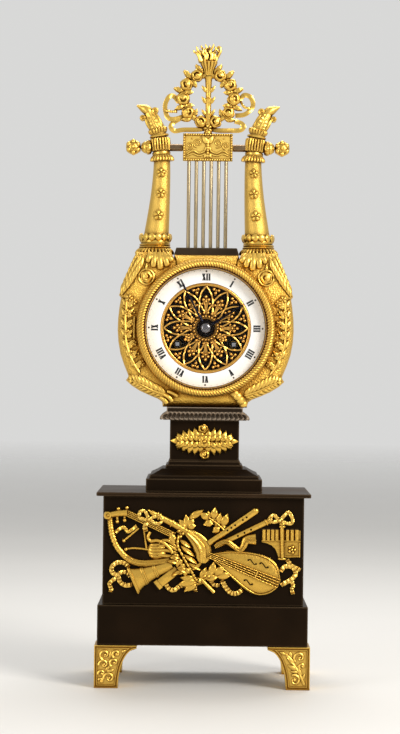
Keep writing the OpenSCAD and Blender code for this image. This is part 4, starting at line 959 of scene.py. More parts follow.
@dataclass
class Feet:
    """Gilt bracket feet: a rim, a groove and a fillet frame a panel of chased scrolls.

    A foot's own coordinates run from its outer corner: along the base, into the depth, and up.

    Attributes:
        outer: The outer corner's distance from the clock's middle.
        front: The corner's distance in front of the middle.
        top: Length along the base at the top.
        bottom: Length at the bottom.
        tall: Height.
        lip: Height of the straight edge at the top.
        wing: Largest depth.
        sunk: Depth of the panel behind the rim.
    """

    outer: float = 89.2
    front: float = 57.4
    top: float = 35.0
    bottom: float = 19.7
    tall: float = 35.3
    lip: float = 2.5
    wing: float = 32.9
    sunk: float = 1.4

    def build(self, finishes: Finishes) -> None:
        """Makes the four feet: spiral scrolls on the left, a climbing stem on the right."""
        for end, face in (("front", -1), ("rear", 1)):
            for hand, side, relief in (("left", -1, self.spirals), ("right", 1, self.stems)):
                name = f"foot_{end}_{hand}"
                solid = [self.placed(shell, side, face) for shell in self.bracket()]
                make_piece(f"{name}_shown", solid, finishes.relief, replaces=[name], sharp=35)
                chased = [self.placed(shell, side, face) for shell in relief()]
                make_piece(f"{name}_scrolls", chased, finishes.relief)

    def placed(self, shell: Shell, side: int, face: int) -> Shell:
        """Carries a shell from a foot's own coordinates to the frame.

        Args:
            shell: The shell.
            side: Minus one for the left, one for the right.
            face: Minus one for the front, one for the rear.

        Returns:
            The shell in the frame, facing outwards.
        """
        p = shell.points
        moved = np.stack([side * (self.outer - p[:, 0]), face * (self.front - p[:, 1]), p[:, 2]], -1)
        return Shell(moved, shell.faces).outward()

    def outline(self, inset: float) -> Array:
        """Front outline, drawn in by inset along its normals.

        The inner edge is a quarter ellipse from the bottom up to the lip.

        Args:
            inset: Distance inside the outer edge.

        Returns:
            Places as [along, height], round the panel.
        """
        a = np.linspace(0, np.pi / 2, 200)
        span, rise, high = self.top - self.bottom, self.tall - self.lip, self.tall - inset
        away = unit(np.stack([-rise * np.cos(a), span * np.sin(a)], -1))
        line = np.stack([self.top - span * np.cos(a), rise * np.sin(a)], -1) + inset * away
        line = line[(line[:, 1] >= inset) & (line[:, 1] <= high)]
        curve = line[np.linspace(0, len(line) - 1, 24).astype(int)]
        across = np.linspace((inset, inset), (curve[0, 0], inset), 6, endpoint=False)
        back = np.linspace((curve[-1, 0] - 0.3 * inset, high), (inset, high), 10, endpoint=False)
        down = np.linspace((inset, high), (inset, inset), 10, endpoint=False)
        return np.concatenate([across, curve, back, down])

    def moulding(self, outer: float, inner: float, rise: float) -> Shell:
        """A raised strip between two insets of the outline, with its shoulders eased.

        Args:
            outer: Inset of the strip's outer edge.
            inner: Inset of its inner edge.
            rise: Depth of its top behind the foot's front.

        Returns:
            The closed strip.
        """
        low, shoulder = self.sunk + 0.3, rise + 0.3
        rows = ((outer, low), (outer, shoulder), (outer + 0.25, rise),
                (inner - 0.25, rise), (inner, shoulder), (inner, low))
        rings = [on_plane(self.outline(inset), depth) for inset, depth in rows]
        return grid_shell(np.stack(rings), wrap=True)

    def bracket(self) -> Shells:
        """The solid, a stack of rectangles that grow with the ellipse, and the rim and fillet in front."""
        rise = self.tall - self.lip
        z = np.append(np.linspace(0, rise, 16), self.tall)
        along = self.top - (self.top - self.bottom) * np.sqrt(1 - np.clip(z / rise, 0, 1) ** 2)
        deep = np.minimum(along, self.wing)
        zero, front = 0 * z, 0 * z + self.sunk
        corners = ((zero, front, z), (along, front, z), (along, deep, z), (zero, deep, z))
        yield grid_shell(np.stack([np.stack(corner, -1) for corner in corners], 1))
        yield self.moulding(0.0, 0.9, 0.0)
        yield self.moulding(1.9, 2.8, 0.35)

    def curls(self, rows: Iterable[tuple[Spot, float, float, float]]) -> Shells:
        """Spiral scrolls that thin towards their round eyes.

        Args:
            rows: Each scroll's eye, angle of its outer end in degrees, turns and outer radius.

        Returns:
            The scrolls and their eyes.
        """
        for at, start, turns, radius in rows:
            path = on_plane(spiral(at, start, turns, radius), self.sunk - 0.1)
            yield sweep(path, np.linspace(1.25, 0.6, len(path)), np.linspace(1.25, 0.8, len(path)), 8)
            yield ball((at[0], self.sunk + 0.1, at[1]), 1.4, 6, 9)

    def sprouts(self, rows: Iterable[tuple[Spot, Spot, float]]) -> Shells:
        """Leaves on the panel, each from its base to its tip, with its width."""
        for base, tip, width in rows:
            ends = on_plane(np.array([base, tip]), self.sunk - 0.1)
            yield leaf(*ends, width, 0.4, thick=0.8, rings=14, sides=10)

    def spirals(self) -> Shells:
        """Seven scrolls that fill the panel, with leaves between them."""
        yield from self.curls((
            ((9.0, 27.4), 250, -1.15, 4.6), ((18.4, 28.0), 230, -1.1, 3.6), ((8.0, 19.4), 190, -1.1, 4.2),
            ((16.6, 21.0), 230, -1.1, 3.9), ((6.4, 11.8), 190, -1.0, 3.1), ((12.6, 8.2), 190, -1.2, 4.7),
            ((5.8, 5.6), 150, -0.9, 2.3)))
        yield from self.sprouts((
            ((10.4, 13.4), (17.0, 15.2), 2.8), ((9.4, 14.0), (13.4, 18.8), 2.4),
            ((22.4, 29.4), (26.2, 31.6), 2.2), ((12.6, 24.0), (14.0, 31.0), 2.2)))

    def stems(self) -> Shells:
        """A stem that climbs across the panel, with leaves on both sides and three scrolls."""
        keys = [(4.6, 4.6), (7.4, 11.0), (10.6, 17.0), (14.2, 22.0), (18.6, 26.6)]
        yield sweep(on_plane(smooth_path(keys, 24), self.sunk - 0.1), np.linspace(1.3, 0.9, 24), 1.1, 8)
        yield from self.curls((
            ((8.4, 26.8), -40, 1.15, 5.0), ((6.2, 19.6), -40, 1.0, 2.8), ((12.4, 8.0), 60, 1.2, 4.8)))
        yield from self.sprouts((
            ((12.4, 20.0), (20.6, 30.6), 3.8), ((10.4, 16.6), (18.6, 20.6), 3.8),
            ((7.0, 11.4), (10.4, 19.8), 3.4), ((9.4, 14.4), (16.4, 15.6), 2.4),
            ((15.4, 26.4), (16.6, 31.8), 3.0), ((20.0, 29.2), (25.4, 31.6), 2.2),
            ((6.0, 8.6), (4.2, 13.6), 2.2)))


def dial_point(radius: float, degrees: float, y: float) -> Array:
    """Place at an angle clockwise from twelve on the dial."""
    a = np.radians(degrees)
    return np.array([radius * np.sin(a), y, DIAL_Z + radius * np.cos(a)])


def loop_turned(profile: Line, around: int = 128) -> Shell:
    """Turns a closed profile of [radius, depth y] round the dial's axis into a ring.

    Args:
        profile: Radius and depth, round the section.
        around: Points round the axis.

    Returns:
        The closed ring.
    """
    p = np.asarray(profile, float)
    a = angles(around)[None, :]
    x = p[:, :1] * np.sin(a)
    z = DIAL_Z + p[:, :1] * np.cos(a)
    return grid_shell(np.stack([x, np.broadcast_to(p[:, 1:], x.shape), z], -1), wrap=True)


def box(x0: float, x1: float, z0: float, z1: float) -> Line:
    """The four corners of a rectangle, from its lower left."""
    return [(x0, z0), (x1, z0), (x1, z1), (x0, z1)]


@dataclass
class Dial:
    """Enamel ring with its figures, the pierced gilt centre and the hands."""

    face: float = -25.4
    back: float = -23.8
    outer: float = 50.0
    inner: float = 38.2
    figure_radius: float = 43.0
    figure_height: float = 5.5
    winding: tuple[float, float] = (23.7, -13.6)
    square: float = 1.5
    petals: int = 12
    hour_angle: float = 57.65
    minute_angle: float = 331.8

    def build(self, finishes: Finishes) -> None:
        """Makes the ring, the figures, the centre and the hands."""
        q = np.linspace(0, 1, 9)
        crown = np.stack([self.inner + (self.outer - self.inner) * q, self.face + 0.5 * (2 * q - 1) ** 2], -1)
        section = np.concatenate([[[self.inner, self.back]], crown, [[self.outer, self.back]]])
        make_piece("enamel_ring", [loop_turned(section, 160)], finishes.enamel, Slot.ENAMEL,
                   replaces=["chapter_ring"])
        make_piece("dial_figures", self.figures(), finishes.ink, Slot.BLUED)
        # Near-black cups, painted as the shade inside the winding holes.
        make_piece("winding_wells", self.wells(), finishes.well, Slot.DARK)
        for name, side, body in (("right", 1, Body.GOING), ("left", -1, Body.STRIKE)):
            corners = np.array(box(-self.square, self.square, -self.square, self.square))
            tip = prism(corners + (side * self.winding[0], DIAL_Z + self.winding[1]), -25.7, -24.7)
            make_piece(f"winding_tip_{name}", [tip], finishes.steel, Slot.STEEL, body)
        make_piece("dial_fret", self.fret(), finishes.fret, replaces=["dial_centre"])
        self.hands(finishes)

    def stroke(self, hour: float, a: Spot, b: Spot, width: float) -> Shell:
        """One bar of a figure.

        Args:
            hour: Hour that the figure stands at.
            a: Start, as [right, up] from the figure's middle.
            b: End.
            width: Width along the figure's base line.

        Returns:
            A thin plate on the enamel.
        """
        turn = np.radians(30 * hour)
        up = np.array([np.sin(turn), np.cos(turn)])
        right = np.array([np.cos(turn), -np.sin(turn)])
        half = width / 2
        corners = np.array([(a[0] - half, a[1]), (a[0] + half, a[1]),
                            (b[0] + half, b[1]), (b[0] - half, b[1])])
        flat = corners[:, :1] * right + (corners[:, 1:] + self.figure_radius) * up + (0, DIAL_Z)
        return prism(flat, self.face - 0.06, self.face + 0.3)

    def figures(self) -> Shells:
        """Roman figures with their feet to the centre, the minute and hour dots, and the edge line."""
        words = ("I", "II", "III", "IIII", "V", "VI", "VII", "VIII", "IX", "X", "XI", "XII")
        wide = {"I": 2.0, "V": 3.2, "X": 3.3}
        thick, thin, stem, serif, reach = 1.6, 0.8, 1.45, 0.13, 0.85
        top = self.figure_height / 2
        for hour, word in enumerate(words, 1):
            u = -sum(wide[c] for c in word) / 2
            for c in word:
                middle = u + wide[c] / 2
                u += wide[c]
                if c == "I":
                    yield self.stroke(hour, (middle, -top), (middle, top), stem)
                else:
                    cross = 0 if c == "V" else reach
                    yield self.stroke(hour, (middle - reach, top), (middle + cross, -top), thick)
                    yield self.stroke(hour, (middle + reach, top), (middle - cross, -top), thin)
                for end in (top,) if c == "V" else (-top, top):
                    yield self.stroke(hour, (middle, end - serif), (middle, end + serif), wide[c] * 0.92)
        for minute in range(60):
            size, radius = (0.78, 47.8) if minute % 5 == 0 else (0.24, 48.6)
            at = dial_point(radius, 6 * minute, self.face + 0.28)
            yield turned([(size, -0.2), (size, 0.16), (size * 0.6, 0.22)], at, FRONT, 10)
        yield loop_turned(box(49.7, self.outer, self.face + 0.42, self.face + 0.7))

    def wells(self) -> Shells:
        """A near-black cup behind each winding hole, round the square and clear of it, painted as the shade
        inside the hole.
        """
        cup = [(3.2, -15.1), (3.2, -16.2), (4.7, -16.4), (4.7, -22.2), (5.4, -22.2), (5.4, -15.1)]
        for side in SIDES:
            yield loop_turned(cup, 48).moved((side * self.winding[0], 0, self.winding[1]))

    def petal(self, degrees: float) -> Shells:
        """One lancet: two strips bow out from its tip, cross the neighbours' strips and run on to the hub.

        Args:
            degrees: Angle of its axis, clockwise from twelve.

        Returns:
            The two strips.
        """
        keys = ((35.3, 0.0), (32.2, 4.5), (28.8, 8.9), (25.2, 12.3), (21.6, 15.2), (18.0, 18.6), (14.8, 22.6),
                (11.6, 28.0))
        for side in SIDES:
            line = [dial_point(r, degrees + side * a, -24.6 - 0.35 * side * (-1) ** k)
                    for k, (r, a) in enumerate(keys)]
            yield sweep(smooth_path(line, 32), 0.8, 0.8, 8)

    def fret(self) -> Shells:
        """Gilt ring, lancets, palmettes with round buds, trefoils at the rim and the beads round the hub."""
        q = np.linspace(0, np.pi, 9)
        rim = np.stack([36.75 - 1.42 * np.cos(q), -24.4 - 1.0 * np.sin(q)], -1)
        yield loop_turned(np.concatenate([rim, [[38.15, self.back], [35.3, self.back]]]))
        hub = np.stack([9.6 - 2.0 * np.cos(q), -24.1 - 0.5 * np.sin(q)], -1)
        yield loop_turned(np.concatenate([hub, [[11.6, self.back], [7.6, self.back]]]), 96)
        for k in range(24):
            yield ball(dial_point(12.9, 15 * k + 7.5, -24.8), 1.35, 6, 9)
            yield ball(dial_point(9.9, 15 * k, -24.9), 1.25, 6, 8)
        for k in range(self.petals):
            angle = 360 / self.petals * k
            yield from self.petal(angle)
            yield from self.palmette(angle, k in (4, 8))
            between = angle + 180 / self.petals
            for r, lean, size in ((30.6, 0.0, 1.6), (33.4, -3.5, 1.6), (33.4, 3.5, 1.6), (33.0, 0.0, 1.1)):
                yield ball(dial_point(r, between + lean, -24.6), size, 6, 9)
            yield tube([dial_point(28.2, between, -24.4), dial_point(33, between, -24.5)], 0.8, 8, 6)

    def palmette(self, degrees: float, short: bool) -> Shells:
        """Three stems from the hub with a tuft of round buds on top.

        Args:
            degrees: Angle clockwise from twelve.
            short: Whether the stems stop before a winding square.

        Returns:
            The stems and buds.
        """
        scale = 0.74 if short else 1.0
        for lean, r, size in ((0.0, 26.4, 1.7), (-5.2, 24.0, 1.65), (5.2, 24.0, 1.65), (-8.2, 20.8, 1.2),
                              (8.2, 20.8, 1.2)):
            end = dial_point(r * scale, degrees + lean, -24.8)
            if abs(lean) < 8:
                bend = dial_point(0.5 * r * scale + 5, degrees + 0.4 * lean, -24.9)
                yield tube([dial_point(11.0, degrees + 0.7 * lean, -24.4), bend, end],
                           np.linspace(0.6, 0.75, 12), 12, 7)
            yield ball(end + (0, -0.25, 0), size, 6, 9)
        yield ball(dial_point(22.4 * scale, degrees, -24.9), 1.5, 6, 9)

    def hand(self, degrees: float, y: float, reach: float, root: float) -> Shell:
        """A slender hand of lens section that narrows to its tip, with a small leaf near the end.

        Args:
            degrees: Angle clockwise from twelve.
            y: Depth of its middle.
            reach: Length.
            root: Half width beside the hub.

        Returns:
            The blade.
        """
        start = 4.6
        s = np.linspace(0, 1, 30)
        turn = np.radians(degrees)
        flat = (start + (reach - start) * s)[:, None] * np.array([np.sin(turn), np.cos(turn)]) + (0, DIAL_Z)
        leafy = 0.55 * np.exp(-((s - 0.84) / 0.06) ** 2)
        return sweep(on_plane(flat, y), root * (1 - 0.72 * s) + leafy, 0.34, 8)

    def hands(self, finishes: Finishes) -> None:
        """Makes both hands and the nut with its collet."""
        for name, body, inner, outer, blade in (
                ("hour_hand", Body.HOUR, 3.3, 4.4, (self.hour_angle, -27.0, 38.0, 1.15)),
                ("minute_hand", Body.MINUTE, 2.05, 3.95, (self.minute_angle, -29.4, 46.4, 1.05))):
            eye = loop_turned(box(inner, outer, blade[1] - 0.4, blade[1] + 0.4), 48)
            make_piece(f"{name}_shown", [eye, self.hand(*blade)], finishes.blued, Slot.BLUED, body, [name])
        t = np.linspace(0, np.pi / 2, 9)
        dome = np.stack([4.3 * np.cos(t), 1.0 + 1.75 * np.sin(t)], -1)
        collet = [(1.0, 0.02), (6.2, 0.02), (6.4, 0.3), (6.1, 0.75), (5.4, 0.95), (1.0, 0.95)]
        hub = (0, -29.8, DIAL_Z)
        make_piece("hand_collet_shown", [turned(collet, hub, FRONT)], finishes.nut, Slot.BLUED, Body.MINUTE,
                   ["hand_nut"])
        make_piece("hand_nut_dome", [turned([(4.3, 0.8), *dome], hub, FRONT)], finishes.dome, Slot.BLUED,
                   Body.MINUTE)


@dataclass
class Bezel:
    """Rope-twist bezel: a half-round ring wound with fine strands."""

    inner: float = 50.6
    outer: float = 58.0
    back: float = -26.3
    crest: float = -36.4
    strands: int = 144

    def build(self, finishes: Finishes) -> None:
        """Makes the ring and dresses the glass."""
        make_piece("bezel_rope", [self.rope()], finishes.rope, body=Body.BEZEL, replaces=["dial_bezel"],
                   sharp=70)
        dress("bezel_glass", finishes.glass)

    def rope(self) -> Shell:
        """The ring: a half-round section whose radius swells with |cos| of the strand's phase.

        The phase runs with the angle round the dial and leans across the section, which slants the strands.
        """
        half = (self.outer - self.inner) / 2
        middle = (self.outer + self.inner) / 2
        q = np.linspace(0, np.pi, 15)[:, None]
        a = angles(self.strands * 6)[None, :]
        phase = self.strands * a / 2 + 2.4 * q
        swell = half * (1 - 0.3 * (1 - np.abs(np.cos(phase)) ** 0.8) * np.sin(q) ** 0.5)
        flat = np.ones_like(a)
        r = np.concatenate([middle - np.cos(q) * swell, self.outer * flat, self.inner * flat])
        y = np.concatenate([self.crest + half - np.sin(q) * swell, self.back * flat, self.back * flat])
        return grid_shell(np.stack([r * np.sin(a), y, DIAL_Z + r * np.cos(a)], -1), wrap=True)


@dataclass
class LyreBody:
    """Cast body of the lyre, with the chased ornament on its front, and the string bridge on top.

    Attributes:
        bore: Radius of the round opening.
        front: Depth of the front face.
        back: Depth of the back face.
        round_edge: Radius of the rounded edge.
        outline: Right half of the outline from the dial's centre, clockwise from the top.
    """

    bore: float = 50.15
    front: float = -26.0
    back: float = 20.0
    round_edge: float = 9.0
    outline: Line = (
        (0, 61.7), (27.0, 61.7), (28.2, 57.0), (29.4, 57.6), (30.0, 63.8), (59.4, 63.8), (61.4, 58.0),
        (65.6, 47.0), (70.4, 36.0), (73.5, 27.2), (71.8, 24.8), (72.9, 18.0), (74.0, 8.0), (74.3, -2.0),
        (73.6, -12.0), (71.8, -22.0), (68.8, -31.0), (65.8, -38.2), (64.6, -41.2), (66.8, -44.6),
        (62.0, -49.0), (55.0, -53.4), (47.0, -57.0), (39.5, -60.0), (36.0, -62.6), (35.6, -66.6), (0, -66.6))

    def build(self, finishes: Finishes) -> None:
        """Makes the body, its ornament and the bridge."""
        make_piece("lyre_shell", [self.shell()], finishes.matt, replaces=["lyre_front", "lyre_back"],
                   sharp=38)
        right = Shell.join(self.ornament())
        make_piece("lyre_leaves_right", [right], finishes.relief)
        make_piece("lyre_leaves_left", [right.mirrored()], finishes.relief)
        make_piece("lyre_stalks", self.stalks(), finishes.relief)
        low, high = DIAL_Z + 61.7, DIAL_Z + 68.0
        bridge = prism([(-27.5, low), (27.5, low), (25.7, high), (-25.7, high)], -16.0, 0.0)
        make_piece("string_bridge_shown", [bridge], finishes.bridge, Slot.DARK, replaces=["string_bridge"],
                   bevel=0.6)

    def shell(self) -> Shell:
        """The body: a section carried round the outline.

        At each place the section runs from the bore over the front, round the edge and back over the rear.
        """
        keys = np.array(self.outline)
        chain = np.concatenate([keys, (keys[1:-1] * (-1, 1))[::-1], keys[:1]])
        share = np.linspace(0, 1, 6, endpoint=False)[:, None]
        edge = (chain[:-1, None] + share * np.diff(chain, axis=0)[:, None]).reshape(-1, 2)
        reach = np.linalg.norm(edge, axis=1)[None, :]
        way = edge / reach.T
        lip = 0.6
        start = np.maximum(reach - self.round_edge, self.bore + 1.05)
        curve = reach - start
        t = np.linspace(0, np.pi / 2, 7)[:, None]
        ones = np.ones_like(reach)
        bore, eased = self.bore * ones, (self.bore + lip) * ones
        r = np.concatenate([bore, eased, start + curve * np.sin(t), start + curve * np.cos(t), eased, bore])
        front = [(self.front + lip) * ones, self.front * ones, self.front + curve * (1 - np.cos(t))]
        back = [self.back - curve * (1 - np.sin(t)), self.back * ones, (self.back - lip) * ones]
        y = np.concatenate(front + back)
        return grid_shell(np.stack([r * way[None, :, 0], y, DIAL_Z + r * way[None, :, 1]], -1), wrap=True)

    def edge(self, x: float, z: float) -> float:
        """Distance from the dial's centre to the outline, in the direction of x and z."""
        keys = np.array(self.outline)
        turn = np.arctan2(keys[:, 0], keys[:, 1])
        return float(np.interp(np.arctan2(abs(x), z), turn, np.linalg.norm(keys, axis=1)))

    def place(self, x: float, z: float, rise: float = 0.0) -> Array:
        """A place on the body's front at x and z from the dial's centre, raised towards the viewer.

        Args:
            x: Distance to the right.
            z: Height.
            rise: Distance in front of the surface.

        Returns:
            The place.
        """
        past = (np.hypot(x, z) - self.edge(x, z) + self.round_edge) / self.round_edge
        drop = self.round_edge * (1 - np.sqrt(1 - np.clip(past, 0, 0.98) ** 2))
        return np.array([x, self.front + drop - rise, DIAL_Z + z])

    def places(self, line: Line, rise: float) -> list[Array]:
        """The places of a line of x and z on the body's front, all raised by rise."""
        return [self.place(x, z, rise) for x, z in line]

    def ornament(self) -> Shells:
        """Right half of the chasing: acanthus fingers, wing, rosette, garland and palm."""
        for base, tip, width in (
                ((33.6, 62.6), (28.8, 55.6), 5.0), ((36.4, 62.8), (32.6, 51.2), 5.8),
                ((40.0, 63.0), (38.4, 48.6), 6.4), ((43.8, 63.0), (44.6, 50.4), 6.0),
                ((47.0, 63.0), (49.6, 54.6), 5.0), ((35.0, 62.8), (31.6, 55.4), 3.0),
                ((38.2, 62.8), (36.0, 54.4), 3.0), ((42.0, 62.8), (41.8, 54.0), 3.0),
                ((45.4, 62.8), (47.0, 56.4), 3.0), ((50.4, 54.0), (50.6, 47.6), 2.4)):
            yield self.finger(base, tip, width)
        yield from self.wing()
        x, z, radius = 50.3, 42.6, 6.3
        yield rose(self.place(x, z), 5.4, 3.6)
        turn = np.linspace(0, TAU, 25)
        ring = np.stack([x + radius * np.cos(turn), z + radius * np.sin(turn)], -1)
        yield tube(self.places(ring, 0.5), 0.95, 40, 8)
        yield from self.garland()
        yield from self.palm()

    def garland(self) -> Shells:
        """Climbing garland on the flank: a stem with leaf sprays, blossoms and berries."""
        p = self.place
        stem = [(66.2, 25.5), (66.6, 16), (67.4, 7), (67.0, -3), (66.4, -13), (63.4, -23), (59.6, -31),
                (54.4, -39)]
        yield tube(self.places(stem, 0.9), 1.05, 60, 8)
        spots = ((66.4, 20.0), (66.8, 11.6), (67.2, 3.0), (66.8, -5.6), (65.8, -14.2), (62.8, -22.8),
                 (58.8, -31.0))
        for k, (x, z) in enumerate(spots):
            for reach, rise in ((4.4, 5.0), (-6.2, 4.4), (-5.4, -1.4)):
                yield leaf(p(x, z - 2.4, 0.4), p(x + reach, z + rise, 0.3), 4.2, 1.1, 0.3, thick=1.0, teeth=3)
            sway = 2.4 if k % 2 else -2.4
            yield flower(p(x - 3.4 + sway, z + 1.2, 0.4), 3.1, 1.9, turn=0.4 * k)
            yield ball(p(x - 6.6, z + 0.8, 0.5), 1.25, 6, 8)
            yield ball(p(x + 2.8, z - 0.8, 0.7), 1.25, 6, 8)
        yield flower(p(64.6, 24.4, 0.5), 3.8, 2.2)

    def finger(self, base: Spot, tip: Spot, width: float) -> Shell:
        """A round-ended lobe in relief, whose half width falls off as the eighth power towards the tip.

        Args:
            base: Start, as x and z from the dial's centre.
            tip: Rounded end.
            width: Its width.

        Returns:
            The lobe.
        """
        middle = 0.5 * (np.asarray(base) + np.asarray(tip))
        line = smooth_path([self.place(*base, 0.2), self.place(*middle, 1.1), self.place(*tip, 0.7)], 20)
        s = np.linspace(0, 1, 20)
        half = width / 2 * (0.72 + 0.28 * s) * np.sqrt(1 - 0.97 * s ** 8)
        return sweep(line, half, 0.75 * half, 14, lambda t, a: 1 - 0.22 * np.exp(-(np.cos(a) / 0.25) ** 2))

    def wing(self) -> Shells:
        """Folded wing on the shoulder's slope: three columns of overlapping barbs inside a smooth rim."""
        inner = smooth_path([(50.6, 57.6), (55.2, 48.4), (60.2, 40.2), (65.6, 32.6), (71.0, 27.0)], 41)
        outer = smooth_path([(58.0, 62.6), (61.6, 55.0), (65.2, 46.2), (69.0, 36.6), (72.4, 27.4)], 41)
        barb, top = np.array([-3.6, 12.4]), 63.0
        for column, share in enumerate((0.86, 0.5, 0.12)):
            line = inner + share * (outer - inner)
            rise = 0.5 + 0.35 * column
            for k in range(7):
                tip = line[min(40, 7 + 5 * k + 2 * column)]
                base = tip + min(1.0, (top - tip[1]) / barb[1]) * barb
                yield leaf(self.place(*base, rise - 0.3), self.place(*tip, rise + 0.5), 3.9, 0.8, full=1.5,
                           rings=16, sides=10)
        yield tube(self.places(outer[::5], 0.6), np.linspace(1.3, 0.8, 30), 30, 8)

    def palm(self) -> Shells:
        """A palm in relief: a rib along a smooth curve, with slender barbs that lean towards its tip."""
        flat = smooth_path([(33.0, -56.4), (44.0, -52.8), (54.6, -47.6), (64.4, -43.8)], 60)
        yield tube(self.places(flat[::6], 1.6), np.linspace(1.2, 0.5, 30), 30, 8)
        half, lean = 7.25, np.radians(36.0)
        for share in np.linspace(0, 1, 9):
            i = int(50 * share)
            d = unit(flat[i + 6] - flat[i])
            n = np.array([-d[1], d[0]])
            reach = half / np.sin(lean) * (0.42 + 0.58 * np.sin(np.pi * (0.22 + 0.7 * share)))
            for side in SIDES:
                tip = self.inside(flat[i] + reach * (np.cos(lean) * d + side * np.sin(lean) * n))
                yield leaf(self.place(*flat[i], 0.8), self.place(*tip, 0.5), 3.6, 0.9, thick=0.85, full=0.9,
                           rings=16, sides=10)

    def stalks(self) -> Shells:
        """Ends of the palms' stalks: a ringed stem on the right and three round fingers on the left."""
        p = self.place

        def rings(s: Array, a: Array) -> Array:
            """Four and a half swellings along the stem, drawn in at both ends."""
            ends = np.exp(-((1 - s) / 0.02) ** 2) + np.exp(-(s / 0.02) ** 2)
            return 0.88 + 0.16 * np.abs(np.cos(4.5 * np.pi * s)) ** 0.6 - 0.5 * ends + 0 * a

        stem = smooth_path([p(22.4, -51.8, 1.4), p(28.0, -58.0, 1.8), p(33.4, -65.0, 1.0)], 60)
        yield sweep(stem, 3.9, 3.0, 16, rings)
        for start, end in (((-37.6, -58.0), (-31.4, -63.6)), ((-34.8, -55.6), (-27.0, -61.8)),
                           ((-31.6, -53.4), (-23.0, -57.6))):
            middle = 0.5 * (np.array(start) + np.array(end)) + (0.4, 0.6)
            yield tube([p(*start, 0.4), p(*middle, 1.5), p(*end, 1.0)], 1.85, 24, 12)

    def inside(self, point: Array) -> Array:
        """Draws a place towards the dial's centre until it lies well within the outline."""
        margin = 0.9
        return point * min(1.0, (self.edge(*point) - margin) / float(np.hypot(*point)))


